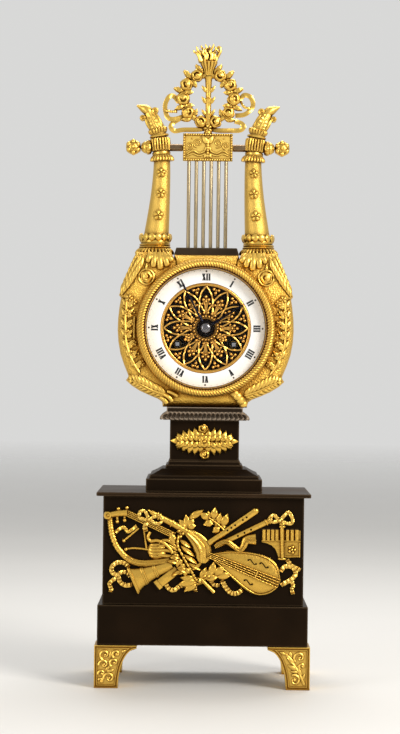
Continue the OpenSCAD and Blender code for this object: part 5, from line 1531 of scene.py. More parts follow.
@dataclass
class Arm:
    """One horn of the lyre: a swelling shaft with collars, rosettes and a bundle of leaves at its tip.

    Attributes:
        depth: Depth of the arm's middle plane.
        stations: Offset, height over the dial's centre and radius of the shaft, from the shoulder up.
    """

    depth: float = -3.0
    stations: tuple[Triple, ...] = (
        (44.0, 63.8, 12.0), (44.0, 68.0, 11.6), (42.6, 81.0, 10.4), (39.8, 113.0, 8.2), (38.8, 141.0, 7.0),
        (40.6, 156.6, 6.8), (42.8, 168.0, 6.6), (46.4, 176.0, 6.0))

    def build(self, finishes: Finishes) -> None:
        """Makes both arms."""
        shaft = self.shaft()
        trim = Shell.join(self.trim())
        for name, a, b in (("right", shaft, trim), ("left", shaft.mirrored(), trim.mirrored())):
            make_piece(f"arm_shaft_{name}", [a], finishes.matt_fine, replaces=[f"arm_{name}"], sharp=60)
            make_piece(f"arm_trim_{name}", [b], finishes.leafy)

    def at(self, x: float, z: float, y: float = 0.0) -> Array:
        """A place at x, at height z over the dial's centre and y behind the arm's middle plane."""
        return np.array([x, self.depth + y, DIAL_Z + z])

    def rod(self, line: Array, radius: Array, sides: int, ring: Ring | None = None) -> Shell:
        """A round rod along [x, z] points from the dial's centre, with one radius for each point."""
        return sweep(on_plane(line + (0, DIAL_Z), self.depth), radius, radius, sides, ring)

    def shaft(self) -> Shell:
        """The swelling shaft: a circle carried along the stations' curve."""
        path = smooth_path(self.stations, 60)
        return self.rod(path[:, :2], path[:, 2], 40)

    def collars(self) -> Shells:
        """Turned collars from the shoulder up.

        A row is the offset, the height of the bottom, the lean outwards in degrees, the number of flutes, and
        the profile of radius and height, with the flutes' share of the radius where there are any.
        """
        for x, z, lean, flutes, profile in (
                (44.2, 62.4, 0, 30, ((11, 0, 0), (15.6, 0.2, 0.14), (15.9, 1.6, 0.14), (15.0, 3.6, 0.12),
                                     (13.6, 5.2, 0.06), (11, 5.6, 0))),
                (44.0, 67.6, 0, 0, ((10.5, 0), (13.2, 0.3), (13.7, 1.0), (13.2, 1.8), (12.6, 2.0),
                                    (13.0, 2.6), (13.3, 3.1), (12.8, 3.8), (10.5, 4.1))),
                (43.8, 71.4, -3, 0, ((10.4, 0), (12.2, 0.2), (12.7, 1.6), (12.3, 3.6), (11.4, 4.8),
                                     (10.4, 5.0))),
                (38.6, 141.8, 3, 22, ((6.5, 0, 0), (9.6, 0.2, 0.12), (9.9, 1.4, 0.12), (9.2, 3.4, 0.12),
                                      (7.9, 5.2, 0.05), (6.5, 5.4, 0))),
                (39.3, 147.2, 5, 0, ((6.4, 0), (7.5, 0.1), (7.9, 1.3), (7.6, 2.4), (6.4, 2.5))),
                (39.6, 150.4, 6, 20, ((6.6, 0, 0), (7.7, 0.2, 0), (8.0, 1.0, 0.16), (8.1, 6, 0.2),
                                      (8.1, 10.6, 0.16), (7.5, 11.4, 0), (6.6, 11.6, 0))),
                (41.2, 162.2, 10, 0, ((6.4, 0), (7.9, 0.3), (8.3, 1.1), (7.9, 1.9), (6.4, 2.2))),
                (41.9, 165.2, 14, 18, ((6.2, 0, 0), (7.0, 0.2, 0.04), (7.7, 2.0, 0.14), (7.9, 3.8, 0.16),
                                       (7.0, 4.9, 0.08), (6.2, 5.0, 0)))):
            rows = np.array(profile, float)
            axis = np.array([np.sin(np.radians(lean)), 0, np.cos(np.radians(lean))])
            depth = rows[:, 2] if flutes else 0.0
            yield turned(rows, self.at(x, z), axis, 8 * flutes or 48, flutes, depth)

    def trim(self) -> Shells:
        """Collars, a cup of leaves over the shoulder, rosettes on the front, and the tip's leaf bundle."""
        yield from self.collars()
        foot = self.at(43.8, 71.8)
        for a in angles(14):
            away = np.array([np.cos(a), np.sin(a), 0])
            yield leaf(foot + 11.6 * away, foot + 11.4 * away + (-0.4, 0, 8.4), 6.2, 1.5, 1.3, full=1.5,
                       face=away, rings=14, sides=10)
        for x, z, r in ((39.3, 131.6, 4.2), (39.4, 114.2, 4.5), (41.2, 95.4, 4.7)):
            swell = float(np.interp(z, [s[1] for s in self.stations], [s[2] for s in self.stations]))
            yield flower(self.at(x, z, 0.5 - swell), r, 2.3, turn=0.3)
        yield from self.tip()

    def tip(self) -> Shells:
        """Leaf bundle: a feathered horn that leans out, a pointed bud at its end and two scrolls."""
        core = smooth_path([(42.0, 166.6), (44.6, 172.0), (47.2, 177.0), (50.6, 183.0)], 40)
        yield self.rod(core, smooth_sizes((6.6, 6.4, 5.8, 4.6), 40), 40,
                       lambda s, a: 1 + 0.045 * np.cos(8 * a) * (1 - 0.5 * s))
        bud = smooth_path([(48.4, 180.6), (51.6, 184.6), (55.4, 186.8), (60.8, 189.0)], 24)
        yield self.rod(bud, smooth_sizes((4.2, 4.3, 3.4, 0.6), 24), 18)
        for y, front in ((-5.2, FRONT), (5.2, -FRONT)):
            yield leaf(self.at(42.4, 167.6, y), self.at(50.6, 184.4, 0.6 * y), 8.2, 0.9, thick=1.3, barbs=6,
                       face=front, rings=60, sides=20)
            for x0, z0, x1, z1, width in ((39.4, 168.6, 45.2, 184.0, 5.0), (46.8, 167.6, 54.6, 179.4, 4.4)):
                low, high = self.at(x0, z0, 0.62 * y), self.at(x1, z1, 0.5 * y)
                yield leaf(low, high, width, 0.8, thick=1.2, face=front)
        half = np.array([(0.4, -4.4), (0.9, -4.1), (1.1, -3.7), (1.8, -4.1), (2.4, -3.7), (2.6, -2.6)])
        scroll = np.concatenate([half, np.delete(half, 1, 0)[::-1] * (1, -1)])
        for x, z, size in ((45.2, 184.6, 1.15), (55.6, 178.4, 1.0)):
            yield turned(scroll * (size, 1.0), self.at(x, z), FRONT, 24)
            yield tube([self.at(0.25 * x + 36.2, 0.25 * z + 133.4), self.at(x, z)], 2.2, 10, 12)


@dataclass
class Yoke:
    """Bar between the arms, its collars and rosette knobs, the string plaque and the strings.

    Attributes:
        depth: Depth of the bar.
        bar: Height of the bar.
        plaque: Half width and half height of the plaque.
        plaque_front: Depth of the plaque's front.
        strings: Offsets of the strings.
    """

    depth: float = -3.0
    bar: float = DIAL_Z + 153.6
    plaque: tuple[float, float] = (21.0, 11.55)
    plaque_front: float = -11.0
    strings: tuple[float, ...] = (-15.75, -9.45, -3.15, 3.15, 9.45, 15.75)

    def build(self, finishes: Finishes) -> None:
        """Makes the bar, knobs, plaque and strings."""
        half = np.array([(2.0, 20.8), (3.0, 21.4), (3.1, 22), (3.1, 37.6), (3.0, 38), (2.0, 38.4), (2.0, 56),
                         (1.9, 56.8)])
        rod = turned(np.concatenate([half[::-1] * (1, -1), half]), (0, self.depth, self.bar), RIGHT, 24)
        make_piece("yoke_rod", [rod], finishes.rod, replaces=["yoke_bar"])
        right = Shell.join(self.knob())
        make_piece("yoke_knob_right", [right], finishes.leafy, replaces=["yoke_knobs"])
        make_piece("yoke_knob_left", [right.mirrored()], finishes.leafy)
        make_piece("plaque_shown", self.board(), finishes.satin, replaces=["string_plaque"], sharp=45)
        low = DIAL_Z + 68.0
        long = self.bar - self.plaque[1] - low
        wire = [(1.5, 0), (1.55, 0.3), (1.55, long - 0.3), (1.5, long)]
        make_piece("strings_shown", [turned(wire, (x, -8.0, low), UP, 16) for x in self.strings],
                   finishes.string, Slot.STRING, replaces=["lyre_strings"])

    def knob(self) -> Shells:
        """Acorn-shaped collar beside the arm and the rosette ball beyond it."""
        acorn = np.array([(0.5, 0, 0), (4.6, 0.1, 0), (5.6, 0.9, 0.06), (6.0, 2.4, 0.1), (5.9, 4.0, 0.08),
                          (5.2, 4.6, 0), (5.3, 5.2, 0), (4.6, 6.8, 0.06), (3.6, 8.0, 0.04), (3.2, 8.8, 0),
                          (0.5, 9.0, 0)])
        yield turned(acorn, (47.6, self.depth, self.bar), RIGHT, 80, 10, acorn[:, 2])
        middle = np.array([63.2, self.depth, self.bar])
        yield turned(domed(6.4, 5.2, 14, 0.1), middle, FRONT, 40)
        for face in (FRONT, -FRONT):
            yield ball(middle + 5.4 * face, 1.8)
            for a in TAU * (np.arange(6) + 0.5) / 6:
                yield ball(middle + 4.4 * np.array([np.cos(a), 0, np.sin(a)]) + 2.9 * face, 2.35, 8, 12)

    def board(self) -> Shells:
        """Plaque with a beaded border, a staff with leaves in the middle and scrolled ribbons beside it."""
        half, tall = self.plaque
        y, z = self.plaque_front, self.bar
        skin = y + 0.8
        yield prism(box(-half, half, z - tall, z + tall), y + 1, -5.0)
        left, right, low, high = 0.9 - half, half - 0.9, z + 0.9 - tall, z + tall - 0.9
        for x0, z0, x1, z1, beads in ((left, high, right, high, 21), (left, low, right, low, 21),
                                      (left, low, left, high, 11), (right, low, right, high, 11)):
            ends = np.array([(x0, y + 0.9, z0), (x1, y + 0.9, z1)])
            yield sweep(np.linspace(*ends, 3), 0.7, 0.7, 10)
            for spot in np.linspace(*ends, beads):
                yield ball(spot + (0, -0.55, 0), 1.0, 6, 9)
        yield tube([(0, skin, z - 9), (0, y + 0.5, z + 7)], 1.3, 8, 8)
        for k in range(5):
            yield turned([(0.6, -0.7), (2.0, 0), (0.6, 0.7)], (0, skin, z - 6 + 2.2 * k), UP, 14)
        for side in SIDES:
            yield leaf((side * 0.4, skin, z + 3), (side * 4.6, y + 0.7, z + 9.8), 4.4, 0.6, thick=1.0)
            yield leaf((side * 0.4, skin, z + 1), (side * 3.0, skin, z - 3.6), 2.2, 0.5, thick=0.6)
            yield leaf((side * 0.4, skin, z - 5), (side * 3.4, skin, z - 9.4), 2.6, 0.5, thick=0.6)
            for drop in (0.0, 2.6):
                wave = [(side * 2.0, z - 3.0 - drop), (side * 7.5, z - 5.2 - drop * 0.8),
                        (side * 12.5, z - 3.0 - drop), (side * 17.6, z - 5.8 - drop * 0.6)]
                yield sweep(on_plane(smooth_path(wave, 24), y + 0.7), 0.8, 0.8, 8)
            for x, rise, turns, radius in ((8.4, 3.4, 1.4, 4.0), (15.4, 1.4, -1.3, 3.2)):
                curl = spiral((side * x, z + rise), 250, side * turns, radius)
                yield sweep(on_plane(curl, skin), 0.55, 0.6, 8)
            for x, rise in ((6, 8.2), (13.5, 7.2), (17.6, -2.4)):
                yield ball((side * x, y + 0.9, z + rise), 0.7, 5, 8)


@dataclass
class Crest:
    """Rose wreath round a torch, with ribbon loops and a knot over the plaque.

    Attributes:
        depth: Depth of the wreath's middle plane.
        roses: Offset, height and radius of each rose on the right.
    """

    depth: float = -8.0
    roses: tuple[Triple, ...] = (
        (9.8, 513.2, 5.2), (18.6, 505.5, 5.4), (21.5, 493.5, 5.6), (17.1, 482.0, 5.4), (6.2, 474.2, 5.2))

    def build(self, finishes: Finishes) -> None:
        """Makes the wreath, torch and ribbons."""
        make_piece("rose_wreath", self.wreath(), finishes.leafy, replaces=["wreath_crest"])
        make_piece("wreath_torch", self.torch(), finishes.leafy)
        make_piece("wreath_ribbons", self.ribbons(), finishes.bright)

    def at(self, x: float, z: float, y: float = 0.0) -> Array:
        """A place at x and z, y behind the wreath's middle plane."""
        return np.array([x, self.depth + y, z])

    def wreath(self) -> Shells:
        """Roses on both faces of a ring stem, with pointed leaves between them."""
        turns = np.linspace(0.14, TAU - 0.14, 40)
        ring = [self.at(20.0 * np.sin(a), 493.6 - 20.0 * np.cos(a)) for a in turns]
        yield tube(ring, 2.4, 80)
        gaps = ((14.2, 510.5, 21.0, 518.0), (14.2, 508.8, 9.6, 503.6), (20.8, 499.4, 29.2, 503.0),
                (19.4, 499.6, 12.6, 499.0), (20.4, 488.0, 28.2, 484.6), (18.6, 488.0, 12.0, 487.8),
                (12.0, 478.6, 9.6, 485.2), (14.0, 477.0, 22.6, 476.0), (4.6, 514.6, 11.0, 523.0))
        for side in SIDES:
            for k, (x, z, r) in enumerate(self.roses):
                spot = self.at(side * x, z)
                yield turned(domed(0.92 * r, 0.62 * r, 10, 0.15), spot, FRONT, 24)
                yield rose(spot + (0, -1.0, 0), r, 4.4, turn=1.3 * k + side)
                yield rose(spot + (0, 1.2, 0), r, 3.0, turn=1.1 * k, face=-FRONT)
            for x0, z0, x1, z1 in gaps:
                yield leaf(self.at(side * x0, z0, -1.0), self.at(side * x1, z1, -0.6), 5.4, 0.8, 0.8, teeth=3)
                yield leaf(self.at(side * x0, z0, 1.0), self.at(side * (x1 + 0.8), z1 - 0.6, 1.2), 4.6,
                           0.6, 0.6, thick=0.8, face=-FRONT)

    def torch(self) -> Shells:
        """Knotted shaft with thorns, ring, fluted cup and a bunch of wavy flames."""
        shaft = [(1.4, 0), (3.2, 0.3), (3.0, 14), (3.6, 15.6), (2.4, 17.4), (2.5, 27), (3.6, 29.4), (2.3, 31),
                 (3.0, 46), (3.4, 46.6), (3.9, 47.6), (3.4, 48.8), (2.6, 49.2)]
        yield turned(shaft, self.at(0, 463.9), UP, 24)
        for z, tall in ((500.6, 4.4), (491.0, 4.6), (480.4, 4.4)):
            for side in SIDES:
                yield leaf(self.at(side * 1.6, z - 1.6, -0.8), self.at(side * 5.8, z + tall, -1.0), 3.2,
                           0.5, 0.5, rings=14, sides=10)
        cup = np.array([(2.6, 0, 0), (3.6, 0.4, 0.08), (4.0, 3.2, 0.14), (4.8, 6.4, 0.2), (6.2, 9.4, 0.22),
                        (7.0, 12.0, 0.22), (5.4, 12.6, 0.1), (1.0, 12.8, 0)])
        yield turned(cup, self.at(0, 512.8), UP, 96, 12, cup[:, 2])
        yield from self.flames()

    def ribbons(self) -> Shells:
        """Flat ribbons that ripple in depth: loops on both sides, a cross strip on each, and the knot."""
        s = np.linspace(0, 1, 60)
        for width, y, keys in (
                (2.0, 0.0, ((-25.0, 490.6), (-29.4, 495.6), (-33.4, 495.0), (-36.6, 488.0), (-35.6, 480.4),
                            (-33.0, 476.6), (-28.0, 476.2), (-20.0, 479.0))),
                (1.1, -0.6, ((-37.6, 483.6), (-32.0, 482.6), (-26.4, 482.4))),
                (2.0, 0.0, ((-24.0, 476.6), (-29.8, 473.0), (-31.6, 469.4), (-28.6, 466.2), (-21.0, 467.2),
                            (-9.0, 467.4), (-1.0, 469.0))),
                (2.0, 0.0, ((26.6, 493.0), (30.4, 497.2), (35.6, 495.4), (38.0, 489.4), (35.6, 484.6),
                            (30.6, 480.6), (23.0, 479.8))),
                (1.1, -0.6, ((27.4, 491.8), (30.4, 487.2), (36.2, 485.4))),
                (2.0, 0.0, ((22.6, 475.0), (28.2, 473.2), (30.2, 470.0), (27.0, 467.4), (18.6, 467.0),
                            (8.0, 467.0), (1.0, 468.6)))):
            path = on_plane(smooth_path(keys, 60), self.depth + y + 0.6 * np.sin(14 * s))
            yield sweep(path, width, 0.6, 12, flat_ring)
        yield flower(self.at(0, 468.4, -1.4), 4.0, 2.4)
        for side in SIDES:
            yield leaf(self.at(side * 0.8, 468.0, -1.0), self.at(side * 3.4, 464.2, -1.0), 2.6, 0.6,
                       thick=0.8)

    def flames(self) -> Shells:
        """Wavy tongues that fan out of the cup and taper, with a hook on the left and a loop on the right."""
        tongues = (
            ((-6.0, 524.2), (-8.4, 529.6), (-10.4, 532.0), (-12.4, 532.8), (-12.8, 534.6)),
            ((-5.2, 524.8), (-7.4, 531.0), (-9.4, 534.6), (-10.6, 538.0)),
            ((-3.8, 525.4), (-5.0, 531.2), (-3.8, 534.2), (-6.0, 537.4), (-6.8, 539.4)),
            ((-2.2, 525.4), (-1.6, 530.6), (-3.4, 534.2), (-2.0, 537.0), (-3.2, 539.8)),
            ((-0.4, 525.4), (0.4, 531.2), (-1.2, 534.6), (0.4, 537.4), (0.2, 539.2)),
            ((1.8, 525.4), (2.6, 530.6), (1.0, 533.4), (3.0, 537.0), (4.2, 539.8)),
            ((3.2, 525.4), (5.0, 530.4), (3.6, 532.8), (5.8, 535.6), (5.0, 538.4)),
            ((4.6, 524.8), (7.4, 530.6), (9.4, 534.2), (9.8, 537.0), (8.2, 538.2), (7.0, 536.2), (8.0, 532.8),
             (5.8, 528.4)),
            ((-6.6, 524.0), (-7.8, 528.0), (-5.6, 531.8), (-7.8, 535.4)),
            ((4.8, 524.0), (6.2, 528.4), (4.6, 532.0), (6.8, 533.8)),
            ((-4.4, 524.0), (-3.0, 529.0), (-5.0, 532.6), (-4.2, 536.0)),
            ((2.4, 524.0), (1.0, 528.6), (2.4, 532.4), (1.6, 536.6)))
        for k, keys in enumerate(tongues):
            y = -3.4 + 6.8 * ((k * 5) % 12) / 11
            yield tube([self.at(x, z, y) for x, z in keys], np.linspace(1.9, 0.55, 28), 28, 8)


@dataclass
class Trophy:
    """Trophy of musical instruments tied with laurel and ribbon, on the front of the base's die.

    Places are x and z from the die's middle.

    Attributes:
        wall: Depth of the die's front.
        middle: Height of the die's middle.
    """

    wall: float = -51.0
    middle: float = 113.6

    def build(self, finishes: Finishes) -> None:
        """Makes the instruments, the laurel, the ribbons and the dark holes."""
        make_piece("trophy_strings", [*self.harp(), *self.bag(), *self.pipes_of_pan()], finishes.dull,
                   replaces=["trophy_mount"])
        make_piece("trophy_winds", [*self.winds(), *self.lute()], finishes.dull)
        make_piece("trophy_laurel", self.laurel(), finishes.dull)
        make_piece("trophy_ribbons", self.ribbons(), finishes.bright)
        # Near-black inlays, painted as the shade inside the holes.
        make_piece("trophy_holes", self.holes(), finishes.well, Slot.DARK)

    def at(self, x: float, z: float, rise: float) -> Array:
        """A place at x and z, raised from the die's front."""
        return np.array([x, self.wall - rise, self.middle + z])

    def raised(self, line: Array, rise: float | Array) -> Array:
        """A line of x and z, raised from the die's front."""
        return on_plane(line + (0, self.middle), self.wall - rise)

    def bar(self, keys: Line, wide: float | Array, deep: float = 1.8, rise: float = 1.2, count: int = 24,
            ridges: int = 0, ridge_depth: float = 0.1, square: float = 2.0) -> Shell:
        """A bar in relief along a smooth curve.

        Args:
            keys: Places to pass through.
            wide: Half width, for each ring or for all.
            deep: Half thickness.
            rise: Height of its middle over the die.
            count: Number of rings.
            ridges: Ridges across the bar.
            ridge_depth: Share of the section that they take.
            square: Power of the section's superellipse: two is round, more is squarer.

        Returns:
            The bar.
        """
        def section(s: Array, a: Array) -> Array:
            """Superellipse, swelling with the ridges."""
            boxed = (np.abs(np.cos(a)) ** square + np.abs(np.sin(a)) ** square) ** (-1 / square)
            return boxed * (1 + ridge_depth * (np.abs(np.cos(np.pi * ridges * s)) - 0.5) if ridges else 1.0)

        return sweep(self.raised(smooth_path(keys, count), rise), wide, deep, 16, section)

    def hoop(self, middle: Spot, across: Spot, deep: float, rise: float) -> Shell:
        """A raised band over a round bar: it rises with the bar's section from one edge to the other.

        Args:
            middle: Place on the bar's axis.
            across: From there to the bar's edge.
            deep: Half thickness of the bar.
            rise: Height of the bar's axis over the die.

        Returns:
            The band.
        """
        u = np.cos(np.linspace(0, np.pi, 17))
        flat = np.asarray(middle, float) + u[:, None] * np.asarray(across, float)
        return sweep(self.raised(flat, rise + deep * np.sqrt(1 - 0.97 * u ** 2)), 0.75, 0.5, 8)

    def ribbon(self, width: float, rise: float, folds: int, *keys: Spot) -> Shell:
        """A flat pleated ribbon along a curve: its height ripples with the folds.

        Args:
            width: Half width.
            rise: Height of its middle over the die.
            folds: Number of pleats.
            keys: Places to pass through.

        Returns:
            The ribbon.
        """
        s = np.linspace(0, 1, 90)
        line = self.raised(smooth_path(keys, 90), rise + 0.45 * np.cos(TAU * folds * s))
        return sweep(line, width, 0.6, 12, flat_ring)

    def harp(self) -> Shells:
        """Arched harp on the left: scrolled neck with pegs, grooved bar, notched column and hanging rods."""
        neck = [(-79.6, 29.0), (-74.0, 30.2), (-68.0, 31.0), (-63.4, 31.2)]
        yield self.bar(neck, np.linspace(2.7, 3.1, 24), 2.6, 2.2)
        scroll = [(0.6, 0), (3.5, 0.3), (3.7, 3.6), (3.0, 4.8), (1.7, 5.0), (1.3, 4.4), (0.3, 4.6)]
        yield turned(scroll, self.at(-79.2, 29.0, 0), FRONT, 28)
        for x, z in ((-70.6, 34.4), (-63.6, 35.4), (-71.4, 23.8), (-65.4, 25.0)):
            yield tube([self.at(x, 30.6, 1.6), self.at(x, z, 1.6)], 1.0, 8, 8)
            yield ball(self.at(x, z, 1.8), 1.8)
        yield self.bar([(-63.4, 31.0), (-44, 22.2), (-24, 12.8)], 3.1, 1.6, 1.4, square=4)
        for side in (-2.1, -0.7, 0.7, 2.1):
            groove = np.array([(-63, 30.8), (-24, 12.8)]) + np.array([0.4, 0.9]) * side
            yield self.bar(groove, 0.5, 0.8, 3.0)
        column = [(-77.4, 27.0), (-76.9, 21.0), (-75.2, 12.0), (-70.8, 2.0), (-63.8, -5.6), (-55.0, -10.0),
                  (-43, -10.6), (-27.8, -8.4)]
        yield self.bar(column[:5], np.linspace(2.3, 2.5, 80), 2.0, 1.6, 80, 15, 0.2)
        yield self.bar(column[3:], np.linspace(2.5, 3.4, 60), 2.0, 1.6, 60)
        for side in (-1.4, 1.4):
            yield self.bar(np.array(column[4:]) - np.array([0.55, 0.8]) * side, 0.5, 0.8, 3.2, 40)
        yield self.ribbon(1.4, 1.4, 5, (-72.6, 14.6), (-70.0, 17.4), (-66.0, 19.0), (-62.6, 15.6),
                          (-59.0, 17.4), (-55.4, 20.4))
        yield self.bar([(-65.6, 8.2), (-53.6, 18.4)], 0.95, 1.0, 1.0, 8)
        yield self.bar([(-49.6, 20), (-47.0, 1.8)], 1.0, 1.1, 1.0, 8)
        yield self.bar([(-64.0, 1.2), (-56, 2.0), (-45.0, 0.8)], 1.0, 1.2, 1.1, 12)
        yield ball(self.at(-65.8, 8.0, 1.2), 1.8)
        yield ball(self.at(-64.2, 0.8, 1.2), 1.8)

    def bag(self) -> Shells:
        """Swollen bag hung in the harp: an oval dome with level ridges, and the bands that curl over it."""
        q = np.linspace(0.04, 1, 26)[:, None]
        a = angles(72)[None, :]
        rim = 1 / np.sqrt((np.cos(a) / 8.0) ** 2 + (np.sin(a) / 8.2) ** 2)
        level = q * rim * np.sin(a)
        high = 3.6 * np.sqrt(1 - 0.92 * q ** 2) * (0.78 + 0.22 * np.abs(np.cos(np.pi * level / 2.7)))
        yield facing(self.at(-38.0, 0.2, 0.4), q * rim, high)
        band = [(-44.0, 15.6), (-45.8, 11.6), (-43.6, 8.2), (-38.6, 8.6), (-32.5, 6.6), (-27.4, 2.0),
                (-25.2, -2.0)]
        yield self.bar(band, 1.5, 1.6, 3.0, 40)
        swelling = np.array([2.2, 3.4, 2.0]).repeat(8)
        yield self.bar([(-27.0, 15.2), (-25.4, 10.4), (-24.2, 6.6)], swelling, 1.8, 2.6)

    def winds(self) -> Shells:
        """Oboe, fluted horn, trumpet with its bands, square tube, stick and the two flutes."""
        oboe = [(-46.0, 34.0), (-41.4, 30.8), (-33.6, 26.8), (-24.4, 22.2), (-15.0, 16.6), (-10.4, 13.4)]
        yield self.bar(oboe, stepped((0, 0.1, 0.16, 0.6, 1), (0.9, 1.3, 2.6, 2.9, 3.2)), 2.4, 2.2, 60)
        for x, z in ((-38.6, 29.4), (-36.6, 28.4), (-26.0, 23.0)):
            yield self.hoop((x, z), (1.5, 2.9), 2.4, 2.2)
        horn = smooth_path([(-13.6, 15.8), (-8.4, 12.0), (-3.4, 6.6), (-0.2, -0.2), (-0.6, -9.4)], 60)
        wide = stepped((0, 0.35, 0.65, 0.9, 1), (3.2, 5.2, 6.6, 5.6, 3.4))
        yield sweep(self.raised(horn, 2.2), wide, 3.2, 80,
                    lambda s, a: 1 + 0.15 * np.cos(10 * a) * np.sin(np.pi * s) ** 0.5)
        trumpet = [(-58.0, -25.0), (-54.6, -23.5), (-48.7, -20.9), (-40.2, -17.2), (-33.6, -14.6),
                   (-26.0, -11.4)]
        reach = smooth_sizes((11.8, 9.4, 7.3, 5.6, 4.6, 3.8), 60)
        yield self.bar(trumpet, reach, 3.0, 2.0, 60)
        line = smooth_path(trumpet, 60)
        for i in (1, 5, 23, 25, 36, 38):
            yield self.hoop(line[i], np.array([-0.4, 0.917]) * reach[i], 3.0, 2.0)
        yield self.bar([(-21.5, -15.5), (-38.0, -28.8)], 3.9, 2.0, 1.4, 10, square=5)
        yield self.bar([(-35.8, -27.0), (-38.2, -29.0)], 4.5, 2.3, 1.6, 6, square=5)
        yield self.bar([(-1.2, -23.3), (9.4, -34.0)], 1.8, 1.8, 2.0, 10)
        yield self.bar([(43.4, 34.2), (24, 20.6), (4.2, 6.6)], np.linspace(2.9, 2.5, 24), 2.2, 2.0, square=3)
        yield ball(self.at(43.2, 34.0, 1.6), 2.9, 10, 24)
        yield self.bar([(55.6, 26.4), (33, 15.4), (10.5, 4.4)], np.linspace(2.4, 2.2, 24), 2.0, 1.8, square=3)
        for x, z in ((54.4, 25.8), (52.0, 24.6)):
            yield self.hoop((x, z), (-1.2, 2.5), 2.1, 1.8)

    def lute(self) -> Shells:
        """Lute on the right: a flat domed body that widens from the neck, four strings, and a cloth.

        A station is the way along the lute from its neck, the offset across and the half width.
        """
        along = np.array([0.930, -0.367])
        across = np.array([0.367, 0.930])
        start = np.array([4.3, -2.7])
        stations = np.array([
            (0, 0, 1.8), (4, 0.3, 3.2), (9.5, 1.0, 5.6), (16, 1.5, 8.6), (24, 1.5, 11.5), (32, 1.3, 14.1),
            (40, 0.8, 16.0), (47.5, 0.2, 16.4), (53, 0, 14.8), (57.5, -0.2, 11.6), (61, -0.4, 7.2),
            (63.2, -0.3, 2.4)])
        keys = start + stations[:, :1] * along + stations[:, 1:2] * across
        width = smooth_sizes(stations[:, 2], 60)
        yield self.bar(keys, width, 2.6, 1.6, 60, square=3.4)
        edge = smooth_path(keys, 60)
        for side in SIDES:
            yield self.bar((edge + side * (width - 1.1)[:, None] * across)[4:-1:3], 0.7, 0.9, 3.6, 60)
        for k in (-1.5, -0.5, 0.5, 1.5):
            string = [start + 1.3 * k * across, start + 63.0 * along + 2.3 * k * across]
            yield self.bar(string, 0.62, 1.3, 4.3, 10)
        saddle = start + 43 * along
        yield self.bar([saddle - 3.4 * across, saddle + 3.4 * across], 0.7, 0.8, 5.2, 8)
        cloth = np.array([(9.6, 4.0), (13.6, 7.0), (19.7, 8.2), (25.2, 4.6), (30.4, 1.4), (33.2, 4.6),
                          (35.8, 9.6), (43.4, 10.6)])
        yield self.bar(cloth, stepped((0, 0.3, 0.6, 0.8, 1), (1.8, 2.4, 2.4, 3.2, 4.6)), 1.8, 3.2, 60)
        for side in (-1.1, 1.1):
            yield self.bar(cloth + np.array([-0.3, 0.9]) * side, 0.5, 0.8, 4.8, 50)

    def pipes_of_pan(self) -> Shells:
        """Row of short pipes over a board with a curved cut and a rosette, and the rod in front."""
        board = np.array([(48.4, 9.8), (80.4, 9.8), (80.4, -3.8), (65.4, -5.0), (62.4, -5.2), (61.6, -1.6),
                          (59.6, 2.8), (56.6, 5.6), (52.6, 7.4), (48.4, 8.2)])
        back = np.array(box(48.4, 80.4, 9.0, 18.0))
        for plate, thick in ((board, 2.2), (back, 1.0)):
            yield prism(plate + (0, self.middle), self.wall - thick, self.wall)
        for x in (*(50.2 + 3.6 * np.arange(4)), *(69.6 + 3.9 * np.arange(3))):
            yield self.bar([(x, 18.6), (x, 9.2)], 1.75, 2.0, 1.2, 8, square=2.6)
        for ends in (((48.4, 9.4), (80.4, 9.4)), ((67.6, 8.0), (67.6, -4.0)), ((79.6, 8.0), (79.6, -4.0)),
                     ((67.6, -3.6), (79.6, -3.4))):
            yield self.bar(ends, 0.6, 0.9, 2.4, 6)
        x, z = 73.4, 2.2
        yield ball(self.at(x, z, 3.0), 1.4, 6, 9)
        for a in angles(5):
            yield ball(self.at(x + 2.4 * np.cos(a), z + 2.4 * np.sin(a), 2.4), 1.6, 6, 9)
        yield self.bar([(64.9, 24.6), (65.1, 10), (65.6, -5.8)], np.linspace(2.0, 1.6, 24), 2.2, 2.4)
        for z, reach in ((23.4, 2.6), (21.2, 2.6), (-5.4, 3.4)):
            yield self.hoop((65.2, z), (reach, 0), 2.2, 2.4)

    def sprig(self, x: float, z: float, lean: float, size: float, rise: float) -> Shells:
        """Five pointed leaves that fan out from one place.

        Args:
            x: Place of the stalk.
            z: Its height.
            lean: Direction of the middle leaf, in degrees from the right.
            size: Length of the middle leaf.
            rise: Height over the die.

        Returns:
            The leaves.
        """
        for turn, share in ((-80, 0.68), (80, 0.68), (-42, 0.88), (42, 0.88), (0, 1.0)):
            a = np.radians(lean + turn)
            tip = self.at(x + share * size * np.cos(a), z + share * size * np.sin(a), rise)
            yield leaf(self.at(x, z, rise), tip, 0.5 * size, 1.1, 0.5, thick=1.0, full=0.85, rings=16,
                       sides=12)

